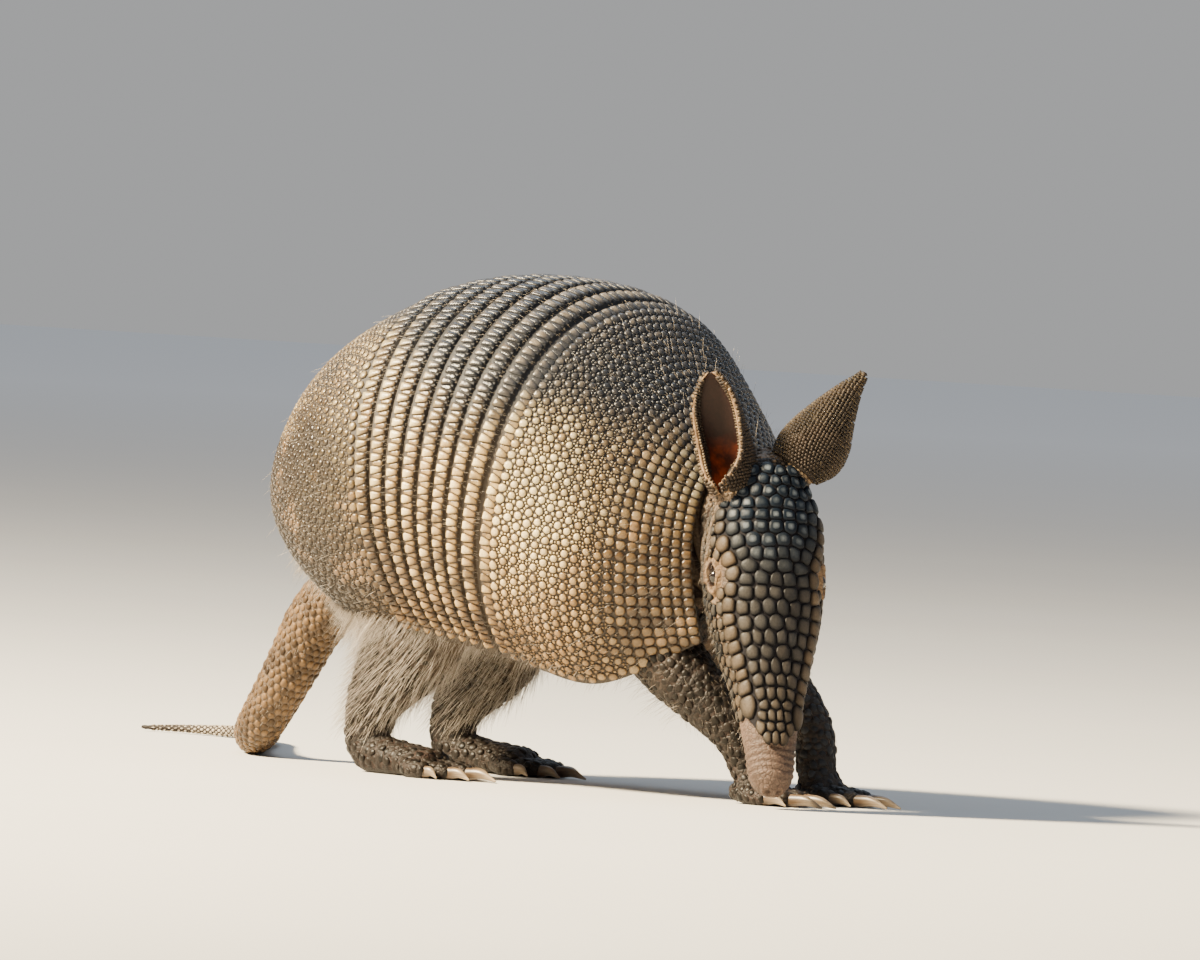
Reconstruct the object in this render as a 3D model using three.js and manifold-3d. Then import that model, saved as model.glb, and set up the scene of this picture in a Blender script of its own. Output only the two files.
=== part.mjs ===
// A life-size nine-banded armadillo, standing with its back arched and its snout down at the ground.
// Millimetres, +X towards the head, +Y to the animal's left, +Z up, standing on the plane Z = 0.
import * as THREE from "three";
import { mergeVertices } from "three/addons/utils/BufferGeometryUtils.js";
import Module from "manifold-3d";

const wasm = await Module();
wasm.setup();

// ---- Driving dimensions ----
const BAND_COUNT = 8;
const PLATE_THICKNESS = 3; // bony plate with its horn
const PLATE_GAP = 0.4; // clearance between neighbouring solids
const BAND_RISE = 1.1; // how far a band's rear rim stands over the band behind it
const HEAD_LENGTH = 109;
const HEAD_TURN = THREE.MathUtils.degToRad(40); // to the animal's right
const HEAD_LEAN = THREE.MathUtils.degToRad(18); // of the snout, away from the chest
const EAR_LENGTH = 38.5;
const TAIL_LENGTHS = 5; // nodes that the tail is divided into
const BOX_CENTRE = new THREE.Vector3(-83.2, 26.96, 0); // middle of the whole animal, seen from above

// The shell's arches from the tail to the neck. Each arch stands on a plane through its top point and
// the line that joins its two lower edges. width is half of its widest line, and edgeY is half of the
// distance between its lower edges.
const ARCHES = [
  { topX: -104, topZ: 74, edgeX: -80, edgeZ: 55, width: 36, edgeY: 33 },
  { topX: -111, topZ: 104, edgeX: -68, edgeZ: 50, width: 53, edgeY: 39 },
  { topX: -93, topZ: 137, edgeX: -56, edgeZ: 47, width: 62, edgeY: 40 },
  { topX: -56, topZ: 158, edgeX: -42, edgeZ: 46, width: 65.5, edgeY: 40 },
  { topX: -19, topZ: 163.5, edgeX: -23, edgeZ: 44, width: 66.5, edgeY: 41 },
  { topX: 15, topZ: 157, edgeX: -2, edgeZ: 41, width: 65.5, edgeY: 41 },
  { topX: 39, topZ: 135.5, edgeX: 32, edgeZ: 34, width: 54, edgeY: 36 },
  { topX: 60, topZ: 111, edgeX: 66, edgeZ: 50, width: 31, edgeY: 27 },
];
const PELVIS_END = 3; // arch number where the rump shield meets the bands
const SHOULDER_START = 5; // arch number where the bands meet the shoulder shield
const NECK_EDGE = 7;
const WIDEST = 0.42; // height of the arch's widest line, as a share of its height
const SQUARENESS = 0.93; // below 1 the arch is fuller than an ellipse

// Reads a table of [place, value, value...] rows smoothly.
function profile(rows) {
  const table = new THREE.CubicInterpolant(
    rows.map((row) => row[0]),
    rows.flatMap((row) => row.slice(1)),
    rows[0].length - 1,
  );
  return (u) => Array.from(table.evaluate(THREE.MathUtils.clamp(u, rows[0][0], rows.at(-1)[0])));
}

const archAt = profile(ARCHES.map((arch, i) => [i, ...Object.values(arch)]));

// A point on the shell's outer face. t is the arch number, and side runs from -1, the right lower
// edge, over 0, the middle of the back, to 1, the left lower edge.
function shellFace(t, side) {
  const [topX, topZ, edgeX, edgeZ, width, edgeY] = archAt(t);
  const foot = new THREE.Vector3(edgeX, 0, edgeZ);
  const rise = new THREE.Vector3(topX, 0, topZ).sub(foot);
  const turn = Math.acos(edgeY / width);
  const swing = Math.abs(side) * (Math.PI / 2 + turn);
  const belowWidest = swing - Math.PI / 2;
  let out = width * Math.sin(swing) ** SQUARENESS;
  let level = WIDEST + (1 - WIDEST) * Math.max(0, Math.cos(swing)) ** SQUARENESS;
  if (belowWidest > 0) {
    out = width * Math.cos(belowWidest);
    level = WIDEST * (1 - Math.sin(belowWidest) / Math.sin(turn));
  }
  const point = foot.addScaledVector(rise, level);
  point.y = Math.sign(side) * out;
  return point;
}

// The same point moved inwards by depth, square to the shell.
function shellPoint(t, side, depth) {
  const step = 0.01;
  const ahead = shellFace(Math.min(NECK_EDGE, t + step), side);
  const across = shellFace(t, Math.min(1, side + step)).sub(shellFace(t, Math.max(-1, side - step)));
  const inward = across.cross(ahead.sub(shellFace(Math.max(0, t - step), side))).normalize();
  return shellFace(t, side).addScaledVector(inward, depth);
}

// ---- Shaping and joining ----
function reshape(geometry, place) {
  const position = geometry.getAttribute("position");
  const vertex = new THREE.Vector3();
  for (let i = 0; i < position.count; i++) {
    const moved = place(vertex.fromBufferAttribute(position, i));
    position.setXYZ(i, moved.x, moved.y, moved.z);
  }
  geometry.deleteAttribute("normal");
  geometry.deleteAttribute("uv");
  return mergeVertices(geometry, 1e-3);
}

function signedVolume(geometry) {
  const position = geometry.getAttribute("position");
  const corner = [0, 1, 2].map(() => new THREE.Vector3());
  let total = 0;
  for (let i = 0; i < geometry.index.count; i += 3) {
    corner.forEach((c, k) => c.fromBufferAttribute(position, geometry.index.getX(i + k)));
    total += corner[0].dot(corner[1].clone().cross(corner[2]));
  }
  return total;
}

function toSolid(geometry) {
  const vertProperties = new Float32Array(geometry.getAttribute("position").array);
  const triVerts = new Uint32Array(geometry.index.array);
  if (signedVolume(geometry) < 0) triVerts.reverse();
  return new wasm.Manifold(new wasm.Mesh({ numProp: 3, vertProperties, triVerts }));
}

function toGeometry(solid) {
  const mesh = solid.getMesh();
  return new THREE.BufferGeometry()
    .setAttribute("position", new THREE.BufferAttribute(mesh.vertProperties, 3))
    .setIndex(new THREE.BufferAttribute(mesh.triVerts, 1));
}

// The largest body of a cut, so that no crumb is left beside it.
function largest(solid) {
  return solid.decompose().reduce((a, b) => (a.volume() > b.volume() ? a : b));
}

function curve(points) {
  return new THREE.CatmullRomCurve3(points.map((p) => new THREE.Vector3(...p)), false, "centripetal");
}

// A closed tube along a curve, flat where it would go below the ground. radii(u) gives its half-width,
// which stays level, and its half-height.
const SIDEWAYS = new THREE.Vector3(0, 1, 0);
function tube({ path, radii, sides, rings, from = 0, to = 1 }) {
  const round = new THREE.CylinderGeometry(1, 1, 1, sides, rings, false, Math.PI / sides);
  const geometry = reshape(round, (v) => {
    const u = THREE.MathUtils.lerp(from, to, v.y + 0.5);
    const tangent = path.getTangentAt(u);
    const across = SIDEWAYS.clone().addScaledVector(tangent, -SIDEWAYS.dot(tangent)).normalize();
    const over = tangent.clone().cross(across);
    const [half, high] = radii(u);
    const point = path.getPointAt(u).addScaledVector(across, v.x * half).addScaledVector(over, v.z * high);
    point.z = Math.max(0, point.z);
    return point;
  });
  return toSolid(geometry);
}

const armadillo = new THREE.Group();
const finish = {
  shell: new THREE.MeshStandardMaterial({ color: 0x8d7a62, roughness: 0.55, metalness: 0 }),
  headShield: new THREE.MeshStandardMaterial({ color: 0x4f4a45, roughness: 0.55, metalness: 0 }),
  skin: new THREE.MeshStandardMaterial({ color: 0x7a6455, roughness: 0.8, metalness: 0 }),
  ear: new THREE.MeshStandardMaterial({ color: 0x3a2c22, roughness: 0.7, metalness: 0 }),
  claw: new THREE.MeshStandardMaterial({ color: 0xb9a68a, roughness: 0.45, metalness: 0 }),
  eye: new THREE.MeshStandardMaterial({ color: 0x0c0a09, roughness: 0.1, metalness: 0 }),
};

function add(name, solid, material) {
  const mesh = new THREE.Mesh(toGeometry(largest(solid)), material);
  mesh.name = name;
  armadillo.add(mesh);
}

// ---- Shell: two shields with the movable bands between them ----
const SHELL_STEPS = 20; // facets from one lower edge to the other
const BAND_LENGTH = (SHOULDER_START - PELVIS_END) / BAND_COUNT; // in arch numbers
const BAND_SLIT = 0.014; // the gap between bands, in arch numbers

function plate({ from, to, alongSteps, rise = () => 0 }) {
  const geometry = reshape(new THREE.BoxGeometry(1, 1, 1, alongSteps, SHELL_STEPS, 1), (v) => {
    const along = v.x + 0.5;
    const depth = v.z > 0 ? -rise(along) : PLATE_THICKNESS;
    return shellPoint(THREE.MathUtils.lerp(from, to, along), 2 * v.y, depth);
  });
  return toSolid(geometry);
}

function addShell() {
  add("shield_pelvis", plate({ from: 0, to: PELVIS_END - BAND_SLIT, alongSteps: 9 }), finish.shell);
  for (let i = 0; i < BAND_COUNT; i++) {
    const from = PELVIS_END + i * BAND_LENGTH;
    const to = from + BAND_LENGTH - BAND_SLIT;
    const band = plate({ from, to, alongSteps: 1, rise: (along) => BAND_RISE * (1 - along) });
    add(`band_${i + 1}`, band, finish.shell);
  }
  const rise = (along) => BAND_RISE * Math.max(0, 1 - 4 * along);
  const shoulder = plate({ from: SHOULDER_START, to: NECK_EDGE, alongSteps: 8, rise });
  add("shield_shoulder", shoulder, finish.shell);
}

// ---- Trunk: fills the shell, set back from its rims, and closes below as the belly ----
const BELLY_SAG = 9;
const BELLY_SHARE = 6 / 26; // of the steps round the trunk
const TRUNK = { from: 0.22, to: 6.6, side: 0.95, bulge: 7 };
const COVER = { from: 0, to: NECK_EDGE, side: 1, bulge: 0 }; // the trunk and its shell as one form

function trunkSolid({ from, to, side, bulge }, depth, grow) {
  const geometry = reshape(new THREE.CylinderGeometry(1, 1, 1, 26, 10), (v) => {
    const along = v.y + 0.5;
    const t = THREE.MathUtils.lerp(from, to, along);
    const left = shellPoint(t, side, depth);
    const right = shellPoint(t, -side, depth);
    if (Math.hypot(v.x, v.z) < 0.5) {
      const centre = shellFace(t, 0).lerp(left.add(right).multiplyScalar(0.5), 0.5);
      centre.x += bulge * Math.sign(v.y);
      return centre;
    }
    const share = (Math.atan2(v.x, v.z) / (2 * Math.PI) + 1) % 1;
    const over = (share - 1 + BELLY_SHARE) / BELLY_SHARE; // from the left edge to the right one
    if (over < 1e-6) {
      const point = shellPoint(t, side * ((2 * share) / (1 - BELLY_SHARE) - 1), depth);
      if (over > -1e-6 || share < 1e-6) point.z -= grow;
      return point;
    }
    const point = left.lerp(right, over);
    point.z -= grow + BELLY_SAG * Math.sin(Math.PI * over) ** 0.8 * Math.sin(Math.PI * along);
    return point;
  });
  return toSolid(geometry);
}

// ---- Head: hangs from the neck, turned to the animal's right ----
const NAPE = new THREE.Vector3(88, -23, 110); // on the crown line, between the ears
const faceOut = new THREE.Vector3(Math.cos(HEAD_TURN), -Math.sin(HEAD_TURN), 0);
const headRight = new THREE.Vector3(-Math.sin(HEAD_TURN), -Math.cos(HEAD_TURN), 0);
const down = new THREE.Vector3(0, 0, -1);
const toSnout = down.multiplyScalar(Math.cos(HEAD_LEAN)).addScaledVector(faceOut, Math.sin(HEAD_LEAN));
const crown = headRight.clone().cross(toSnout); // out of the forehead

// Rows of distance from the nape, half-width, half-height and depth of the middle below the crown line.
const headAt = profile([
  [-8, 5, 4, 15],
  [-3, 12.5, 11, 15],
  [8, 17.4, 16, 17],
  [20, 18.8, 17.5, 18],
  [34, 19.4, 17.8, 18.4],
  [48, 18.2, 16.5, 18],
  [61, 15.2, 13.5, 16],
  [74, 11.8, 10.6, 13.5],
  [92, 8.8, 8, 11],
  [104, 7.2, 6.6, 9.6],
  [HEAD_LENGTH, 5, 4.6, 8.8],
]);
const HEAD_TOP = -8;

function headPoint(along, lateral, out) {
  const point = NAPE.clone().addScaledVector(toSnout, along);
  return point.addScaledVector(headRight, lateral).addScaledVector(crown, out);
}

// A point on the head's surface, raised by lift. turn is the angle from the crown towards the right.
function headFace(along, turn, lift) {
  const [half, high, low] = headAt(along);
  return headPoint(along, (half + lift) * Math.sin(turn), -low + (high + lift) * Math.cos(turn));
}

function headSolid(grow) {
  const geometry = reshape(new THREE.CylinderGeometry(1, 1, 1, 20, 12), (v) => {
    const along = THREE.MathUtils.lerp(HEAD_TOP - grow, HEAD_LENGTH + grow, v.y + 0.5);
    if (Math.hypot(v.x, v.z) < 0.5) return headPoint(along, 0, -headAt(along)[2]);
    return headFace(along, Math.atan2(v.x, v.z), grow);
  });
  return toSolid(geometry);
}

const SHIELD = { from: 1, to: 93, halfTurn: THREE.MathUtils.degToRad(57), thickness: 1.6, taper: 12 };
function headShieldSolid(grow) {
  const geometry = reshape(new THREE.BoxGeometry(1, 1, 1, 8, 10, 1), (v) => {
    const end = Math.max(0, 2 * v.x); // 1 at the snout's end, which is round
    const reach = THREE.MathUtils.lerp(SHIELD.from - grow, SHIELD.to + grow, v.x + 0.5);
    const along = reach - SHIELD.taper * end * (2 * v.y) ** 2;
    const turn = 2 * v.y * (SHIELD.halfTurn + grow / 18);
    return headFace(along, turn, v.z > 0 ? PLATE_GAP + SHIELD.thickness + grow : PLATE_GAP - grow);
  });
  return toSolid(geometry);
}

const EYE = { radius: 3.2, along: 36, turn: THREE.MathUtils.degToRad(69), sunk: 1.9 };
function eyeSolid(side, grow) {
  const centre = headFace(EYE.along, side * EYE.turn, -EYE.sunk);
  const ball = new THREE.SphereGeometry(EYE.radius + grow, 9, 6);
  return toSolid(reshape(ball, (v) => v.clone().add(centre)));
}

// ---- Ears: leaves rolled into a cup, open to the side ----
// Each shape has rows of share of the length, half-width at either side of the cup, depth of the cup
// and half of the roll's angle in degrees. The left ear is seen turned back, with a lobe below.
const EARS = {
  right: {
    root: headPoint(8, 11, -10),
    reach: [-8, -6, 36.5],
    opening: [0.06, -1, 0],
    shape: profile([
      [0, 6.5, 6.5, 8, 150],
      [0.13, 7.5, 7.5, 10.5, 130],
      [0.3, 7.5, 9.5, 10.8, 110],
      [0.5, 7.5, 10.5, 8.8, 98],
      [0.7, 7, 10.3, 6.8, 90],
      [0.85, 5.5, 8, 4.8, 86],
      [0.95, 3.6, 5, 3, 84],
      [1, 1.8, 2, 1.8, 82],
    ]),
  },
  left: {
    root: headPoint(0, -9, -10),
    reach: [11.7, 16.7, 31.4],
    opening: [-0.616, 0.788, 0],
    shape: profile([
      [0, 9, 7.5, 6, 140],
      [0.17, 10.5, 11, 7.2, 115],
      [0.39, 9.2, 10, 6.8, 98],
      [0.5, 8, 8, 5.8, 94],
      [0.6, 6.8, 6.2, 4.8, 90],
      [0.84, 3.4, 2.6, 2.6, 86],
      [0.95, 1.4, 1.5, 1.4, 84],
      [1, 0.9, 0.9, 1, 80],
    ]),
  },
};
const EAR_WALL = 1.2;

function earSolid({ root, reach, opening, shape }) {
  const axis = new THREE.Vector3(...reach).normalize();
  const back = new THREE.Vector3(...opening);
  back.addScaledVector(axis, -back.dot(axis)).normalize().negate();
  const across = axis.clone().cross(back);
  const geometry = reshape(new THREE.BoxGeometry(1, 1, 1, 7, 8, 1), (v) => {
    const share = v.x + 0.5;
    const [near, far, cup, roll] = shape(share);
    const half = v.y < 0 ? near : far;
    const angle = 2 * v.y * THREE.MathUtils.degToRad(roll);
    const inset = v.z > 0 ? 0 : Math.min(EAR_WALL, 0.6 * cup, 0.6 * half);
    const point = root.clone().addScaledVector(axis, share * EAR_LENGTH);
    point.addScaledVector(back, (cup - inset) * Math.cos(angle));
    return point.addScaledVector(across, (half - inset) * Math.sin(angle));
  });
  return toSolid(geometry);
}

// ---- Neck: from the shoulder shield's opening to the back of the head ----
function neckSolid() {
  const path = curve([[46, 0, 78], [60, -3, 83], [70, -10, 87], [78, -17, 88]]);
  const radii = profile([[0, 23, 24], [0.45, 21, 22], [1, 14, 15]]);
  return tube({ path, radii, sides: 16, rings: 4 });
}

// ---- Legs: a limb, a foot with its toes joined, and a claw before each toe ----
const TOE_RADIUS = 3.4;
const CLAW_RADIUS = 2.2;
// Half-width and half-height along a limb, from inside the trunk to the toes' roots.
const foreRadii = profile([[0, 13, 14], [0.3, 12, 12], [0.55, 9, 9.5], [0.8, 7.2, 7], [1, 8.8, 5.5]]);
const hindRadii = profile([[0, 16, 20], [0.3, 13, 17], [0.5, 9, 11], [0.66, 7, 8], [0.8, 8, 7], [1, 9.5, 5.5]]);
// Each toe's distance from the foot's middle, its reach past the foot and its claw's length.
const FORE_TOES = [[-7.5, -3, 9], [-2.8, 3, 13], [2.8, 3, 13], [7.5, -3, 9]];
const HIND_TOES = [[-9, -6, 6], [-4.8, 0, 9], [0, 3, 12], [4.8, 0, 9], [9, -6, 6]];
const LEGS = {
  front_right: {
    path: curve([[36, -18, 60], [47, -21, 46], [61, -20, 34], [74, -16, 21], [79, -13, 9], [83, -13, 4.2]]),
    radii: foreRadii,
    toes: FORE_TOES,
    ankle: 0.84,
  },
  front_left: {
    path: curve([[36, 18, 60], [47, 22, 46], [61, 26, 34], [73, 26, 21], [77, 24, 9], [81, 24, 4.2]]),
    radii: foreRadii,
    toes: FORE_TOES,
    ankle: 0.84,
  },
  hind_right: {
    path: curve([[-46, -24, 66], [-46, -29, 50], [-53, -32, 36], [-62, -33, 20], [-62, -33, 8], [-50, -34, 5], [-34, -35, 4.2]]),
    radii: hindRadii,
    toes: HIND_TOES,
    ankle: 0.6,
  },
  hind_left: {
    path: curve([[-56, 24, 66], [-58, 29, 50], [-67, 32, 36], [-79, 33, 20], [-80, 33, 8], [-68, 34, 5], [-52, 35, 4.2]]),
    radii: hindRadii,
    toes: HIND_TOES,
    ankle: 0.6,
  },
};

function toeRoute(leg, [side, ahead, claw]) {
  const end = leg.path.getPointAt(1);
  const root = new THREE.Vector3(end.x - 6, end.y + side * 0.7, TOE_RADIUS + 0.2);
  const knuckle = new THREE.Vector3(end.x + 6 + ahead, end.y + side * 1.15, TOE_RADIUS - 0.6);
  const tip = new THREE.Vector3(end.x + 11 + ahead, end.y + side * 1.2, TOE_RADIUS - 1.1);
  const clawTip = new THREE.Vector3(tip.x + claw, end.y + side * 1.3, 0.8);
  return { path: new THREE.CatmullRomCurve3([root, knuckle, tip]), tip, clawTip };
}

function footSolid(leg) {
  const toeRadii = profile([[0, 3.4, 3.4], [0.8, TOE_RADIUS, TOE_RADIUS], [1, 2.8, 2.8]]);
  const foot = tube({ ...leg, from: leg.ankle + 0.003, sides: 10, rings: 4 });
  const toes = leg.toes.map((toe) => tube({ path: toeRoute(leg, toe).path, radii: toeRadii, sides: 6, rings: 2 }));
  return toes.reduce((whole, toe) => whole.add(toe), foot);
}

function clawSolid(leg, toe) {
  const { tip, clawTip } = toeRoute(leg, toe);
  const start = tip.clone().add(new THREE.Vector3(2 * PLATE_GAP, 0, 0));
  const bend = start.clone().lerp(clawTip, 0.5).add(new THREE.Vector3(0, 0, 0.9));
  const radii = profile([[0, CLAW_RADIUS, CLAW_RADIUS], [0.5, 1.7, 1.6], [1, 0.5, 0.4]]);
  return tube({ path: new THREE.CatmullRomCurve3([start, bend, clawTip]), radii, sides: 6, rings: 3 });
}

// ---- Tail: comes out under the rump, drops to the ground and trails round to the left ----
const TAIL = {
  path: curve([
    [-86, 0, 62], [-103, 0, 56], [-114, 0, 46], [-121, 0, 34], [-128, 0, 22], [-138, 4, 11], [-155, 22, 6.4],
    [-172, 44, 5.4], [-189, 68, 4.5], [-205, 91, 3.7], [-224, 110, 2.9], [-247, 119, 2.2], [-264, 118, 1.8],
    [-278, 112, 1.3],
  ]),
  radii: profile([[0, 13, 13], [0.08, 11.2, 11.2], [0.2, 9, 9], [0.3, 7.8, 7.8], [0.6, 4.8, 4.8], [1, 1.5, 1.5]]),
};

function tailSolid(index) {
  const slit = 0.0008;
  const from = index / TAIL_LENGTHS + slit;
  const to = (index + 1) / TAIL_LENGTHS - slit;
  return tube({ ...TAIL, from, to, sides: 8, rings: 6 });
}

// ---- Putting it together ----
const TRUNK_DEPTH = PLATE_THICKNESS + 3 * PLATE_GAP;
const trunk = trunkSolid(TRUNK, TRUNK_DEPTH, 0);
const aroundTrunk = trunkSolid({ ...TRUNK, bulge: TRUNK.bulge + PLATE_GAP }, TRUNK_DEPTH - PLATE_GAP, PLATE_GAP);
const aroundShell = trunkSolid(COVER, -3 * PLATE_GAP, PLATE_GAP).add(aroundTrunk);
const aroundHead = headSolid(PLATE_GAP);
const aroundHeadShield = headShieldSolid(PLATE_GAP);
addShell();
add("trunk", trunk, finish.skin);
add("head", headSolid(0).subtract(eyeSolid(1, PLATE_GAP)).subtract(eyeSolid(-1, PLATE_GAP)), finish.skin);
add("head_shield", headShieldSolid(0), finish.headShield);
add("neck", neckSolid().subtract(aroundTrunk).subtract(aroundHead), finish.skin);
for (const [side, ear] of Object.entries(EARS)) {
  add(`eye_${side}`, eyeSolid(side === "right" ? 1 : -1, 0), finish.eye);
  add(`ear_${side}`, earSolid(ear).subtract(aroundHead).subtract(aroundHeadShield), finish.ear);
}
for (const [name, leg] of Object.entries(LEGS)) {
  add(`leg_${name}`, tube({ ...leg, to: leg.ankle, sides: 12, rings: 7 }).subtract(aroundShell), finish.skin);
  add(`foot_${name}`, footSolid(leg), finish.skin);
  leg.toes.forEach((toe, i) => add(`claw_${name}_${i + 1}`, clawSolid(leg, toe), finish.claw));
}
for (let i = 0; i < TAIL_LENGTHS; i++) {
  add(`tail_${i + 1}`, tailSolid(i).subtract(aroundTrunk), finish.skin);
}

armadillo.position.copy(BOX_CENTRE).negate();

export default armadillo;
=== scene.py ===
import math
import random

import bpy
import numpy as np
from mathutils import Matrix, Vector, kdtree


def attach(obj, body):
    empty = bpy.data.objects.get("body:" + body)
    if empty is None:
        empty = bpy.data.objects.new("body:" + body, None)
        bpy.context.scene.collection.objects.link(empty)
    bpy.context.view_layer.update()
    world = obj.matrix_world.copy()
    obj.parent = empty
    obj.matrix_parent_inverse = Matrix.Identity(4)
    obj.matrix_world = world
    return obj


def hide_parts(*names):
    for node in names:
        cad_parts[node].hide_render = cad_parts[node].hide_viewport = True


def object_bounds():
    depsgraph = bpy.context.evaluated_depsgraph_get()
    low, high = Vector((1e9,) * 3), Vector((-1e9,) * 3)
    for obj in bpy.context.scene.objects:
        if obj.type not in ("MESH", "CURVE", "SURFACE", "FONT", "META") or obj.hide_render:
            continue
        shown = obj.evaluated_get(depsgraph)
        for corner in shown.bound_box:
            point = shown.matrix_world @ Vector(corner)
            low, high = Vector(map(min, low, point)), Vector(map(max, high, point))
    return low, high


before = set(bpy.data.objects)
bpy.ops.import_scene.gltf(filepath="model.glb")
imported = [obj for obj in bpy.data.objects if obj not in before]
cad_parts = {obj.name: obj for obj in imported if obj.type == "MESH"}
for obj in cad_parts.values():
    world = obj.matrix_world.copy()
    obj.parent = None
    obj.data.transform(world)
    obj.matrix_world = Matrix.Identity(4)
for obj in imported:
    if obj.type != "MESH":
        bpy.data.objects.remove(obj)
cad_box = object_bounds()

# ---- Camera ----
# A long lens stands five metres off, level with the animal's flank and ahead of its right side.
# It is turned a little on its own axis, as a lens held by hand is.
yaw, pitch, roll = math.radians(38), math.radians(1), math.radians(3.5)
back = Vector((math.sin(yaw) * math.cos(pitch), -math.cos(yaw) * math.cos(pitch), math.sin(pitch)))
level = Vector((math.cos(yaw), math.sin(yaw), 0))
upward = back.cross(level)
lens_x = level * math.cos(roll) + upward * math.sin(roll)
lens_y = upward * math.cos(roll) - level * math.sin(roll)
aim = Vector((0.0832, -0.02696, 0.099))
CAMERA_DISTANCE = 5
bpy.ops.object.camera_add()
camera = bpy.context.object
camera.name = "Camera"
facing = Matrix((lens_x, lens_y, back)).transposed().to_4x4()
camera.matrix_world = Matrix.Translation(aim + CAMERA_DISTANCE * back) @ facing
camera.data.sensor_width = 36
camera.data.lens = 465
camera.data.clip_end = 60
bpy.context.scene.camera = camera

# ---- Floor ----
# A plain pale studio floor of painted board, far wider than the view. It carries the animal and
# isn't part of it.
def feed(owner, node, values):
    """Sets a node's inputs, each to a constant or from another node's output."""
    for key, value in values.items():
        if isinstance(value, bpy.types.NodeSocket):
            owner.node_tree.links.new(value, node.inputs[key])
        else:
            node.inputs[key].default_value = value


def add_node(owner, kind, values=None, **settings):
    """A shader node in a material, or in the sky, with its settings and its inputs."""
    node = owner.node_tree.nodes.new("ShaderNode" + kind)
    for key, value in settings.items():
        setattr(node, key, value)
    feed(owner, node, values or {})
    return node


def object_place(material):
    return add_node(material, "TexCoord").outputs["Object"]


def noise(material, place, scale, detail=3.0):
    values = {"Vector": place, "Scale": scale, "Detail": detail, "Roughness": 0.5}
    return add_node(material, "TexNoise", values).outputs["Fac"]


def ramp(material, factor, *stops):
    """Colours, or greys, along a factor: each stop is its place and its colour."""
    node = add_node(material, "ValToRGB", {"Fac": factor})
    elements = node.color_ramp.elements
    while len(elements) < len(stops):
        elements.new(0.5)
    for element, (place, colour) in zip(elements, stops):
        element.position = place
        element.color = (*colour, 1) if isinstance(colour, tuple) else (colour, colour, colour, 1)
    return node.outputs["Color"]


def mixed(material, factor, a, b, blend="MIX"):
    """Colour a with b laid over it by a factor."""
    node = add_node(material, "Mix", data_type="RGBA", blend_type=blend)
    sockets = {0: factor, 6: a, 7: b}
    feed(material, node, {k: (*v, 1) if isinstance(v, tuple) else v for k, v in sockets.items()})
    return node.outputs[2]


def new_finish(name):
    material = bpy.data.materials.new(name)
    material.use_nodes = True
    return material


def set_surface(material, values):
    """Sets the inputs of the finish's own shader."""
    feed(material, material.node_tree.nodes["Principled BSDF"], values)


FLOOR_RADIUS = 14  # metres, as the animal is seen from five
bpy.ops.object.select_all(action="DESELECT")
bpy.ops.mesh.primitive_circle_add(vertices=96, radius=FLOOR_RADIUS, fill_type="NGON")
floor = bpy.context.object
floor.name = "Floor"
bpy.ops.object.mode_set(mode="EDIT")
bpy.ops.mesh.select_all(action="SELECT")
for border in (6, 4):
    bpy.ops.mesh.inset(thickness=border)
bpy.ops.object.mode_set(mode="OBJECT")
floor_paint = new_finish("Floor_paint")
place = object_place(floor_paint)
paint_cloud = noise(floor_paint, place, 3, 2)
paint_tone = ramp(floor_paint, paint_cloud, (0.0, (0.57, 0.56, 0.54)), (1.0, (0.61, 0.60, 0.58)))
from_middle = add_node(floor_paint, "VectorMath", {0: place}, operation="LENGTH").outputs["Value"]
far_range = {"Value": from_middle, "From Min": 1.5, "From Max": 9}
far_off = add_node(floor_paint, "MapRange", far_range).outputs["Result"]
set_surface(floor_paint, {
    "Base Color": mixed(floor_paint, far_off, paint_tone, (0.93, 0.93, 0.93)),
    "Roughness": 0.85,
    "Specular IOR Level": 0.0,
})
floor.data.materials.append(floor_paint)

# ---- Light ----
# Soft studio lamps: a warm one part-way up at the camera's left, a wide cool one overhead and behind,
# and a weak wide one from the right that opens the shadows.
studio = bpy.data.worlds.new("Studio")
studio.use_nodes = True
sky_way = add_node(studio, "TexCoord").outputs["Generated"]
sky_height = add_node(studio, "SeparateXYZ", {0: sky_way}).outputs["Z"]
sky_tone = ramp(studio, sky_height, (0.0, (0.47, 0.475, 0.48)), (0.8, (0.46, 0.50, 0.56)))
feed(studio, studio.node_tree.nodes["Background"], {"Color": sky_tone, "Strength": 0.86})
bpy.context.scene.world = studio


def lamp(name, turn, height, distance, size, power, colour):
    """An area lamp that faces the animal. turn is its angle from the camera, to the camera's left."""
    angle = yaw - turn
    out = Vector((math.sin(angle) * math.cos(height), -math.cos(angle) * math.cos(height), math.sin(height)))
    bpy.ops.object.light_add(type="AREA", location=aim + distance * out)
    light = bpy.context.object
    light.name = name
    light.rotation_euler = out.to_track_quat("Z", "Y").to_euler()
    light.data.size = size
    light.data.energy = power
    light.data.color = colour


lamp("Key_lamp", math.radians(72), math.radians(39), 2.4, 0.36, 500, (1.0, 0.82, 0.54))
lamp("Top_lamp", math.radians(170), math.radians(58), 2.6, 1.2, 20, (0.66, 0.82, 1.0))
lamp("Fill_lamp", math.radians(-60), math.radians(25), 3.0, 2.0, 5, (0.80, 0.89, 1.0))

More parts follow.
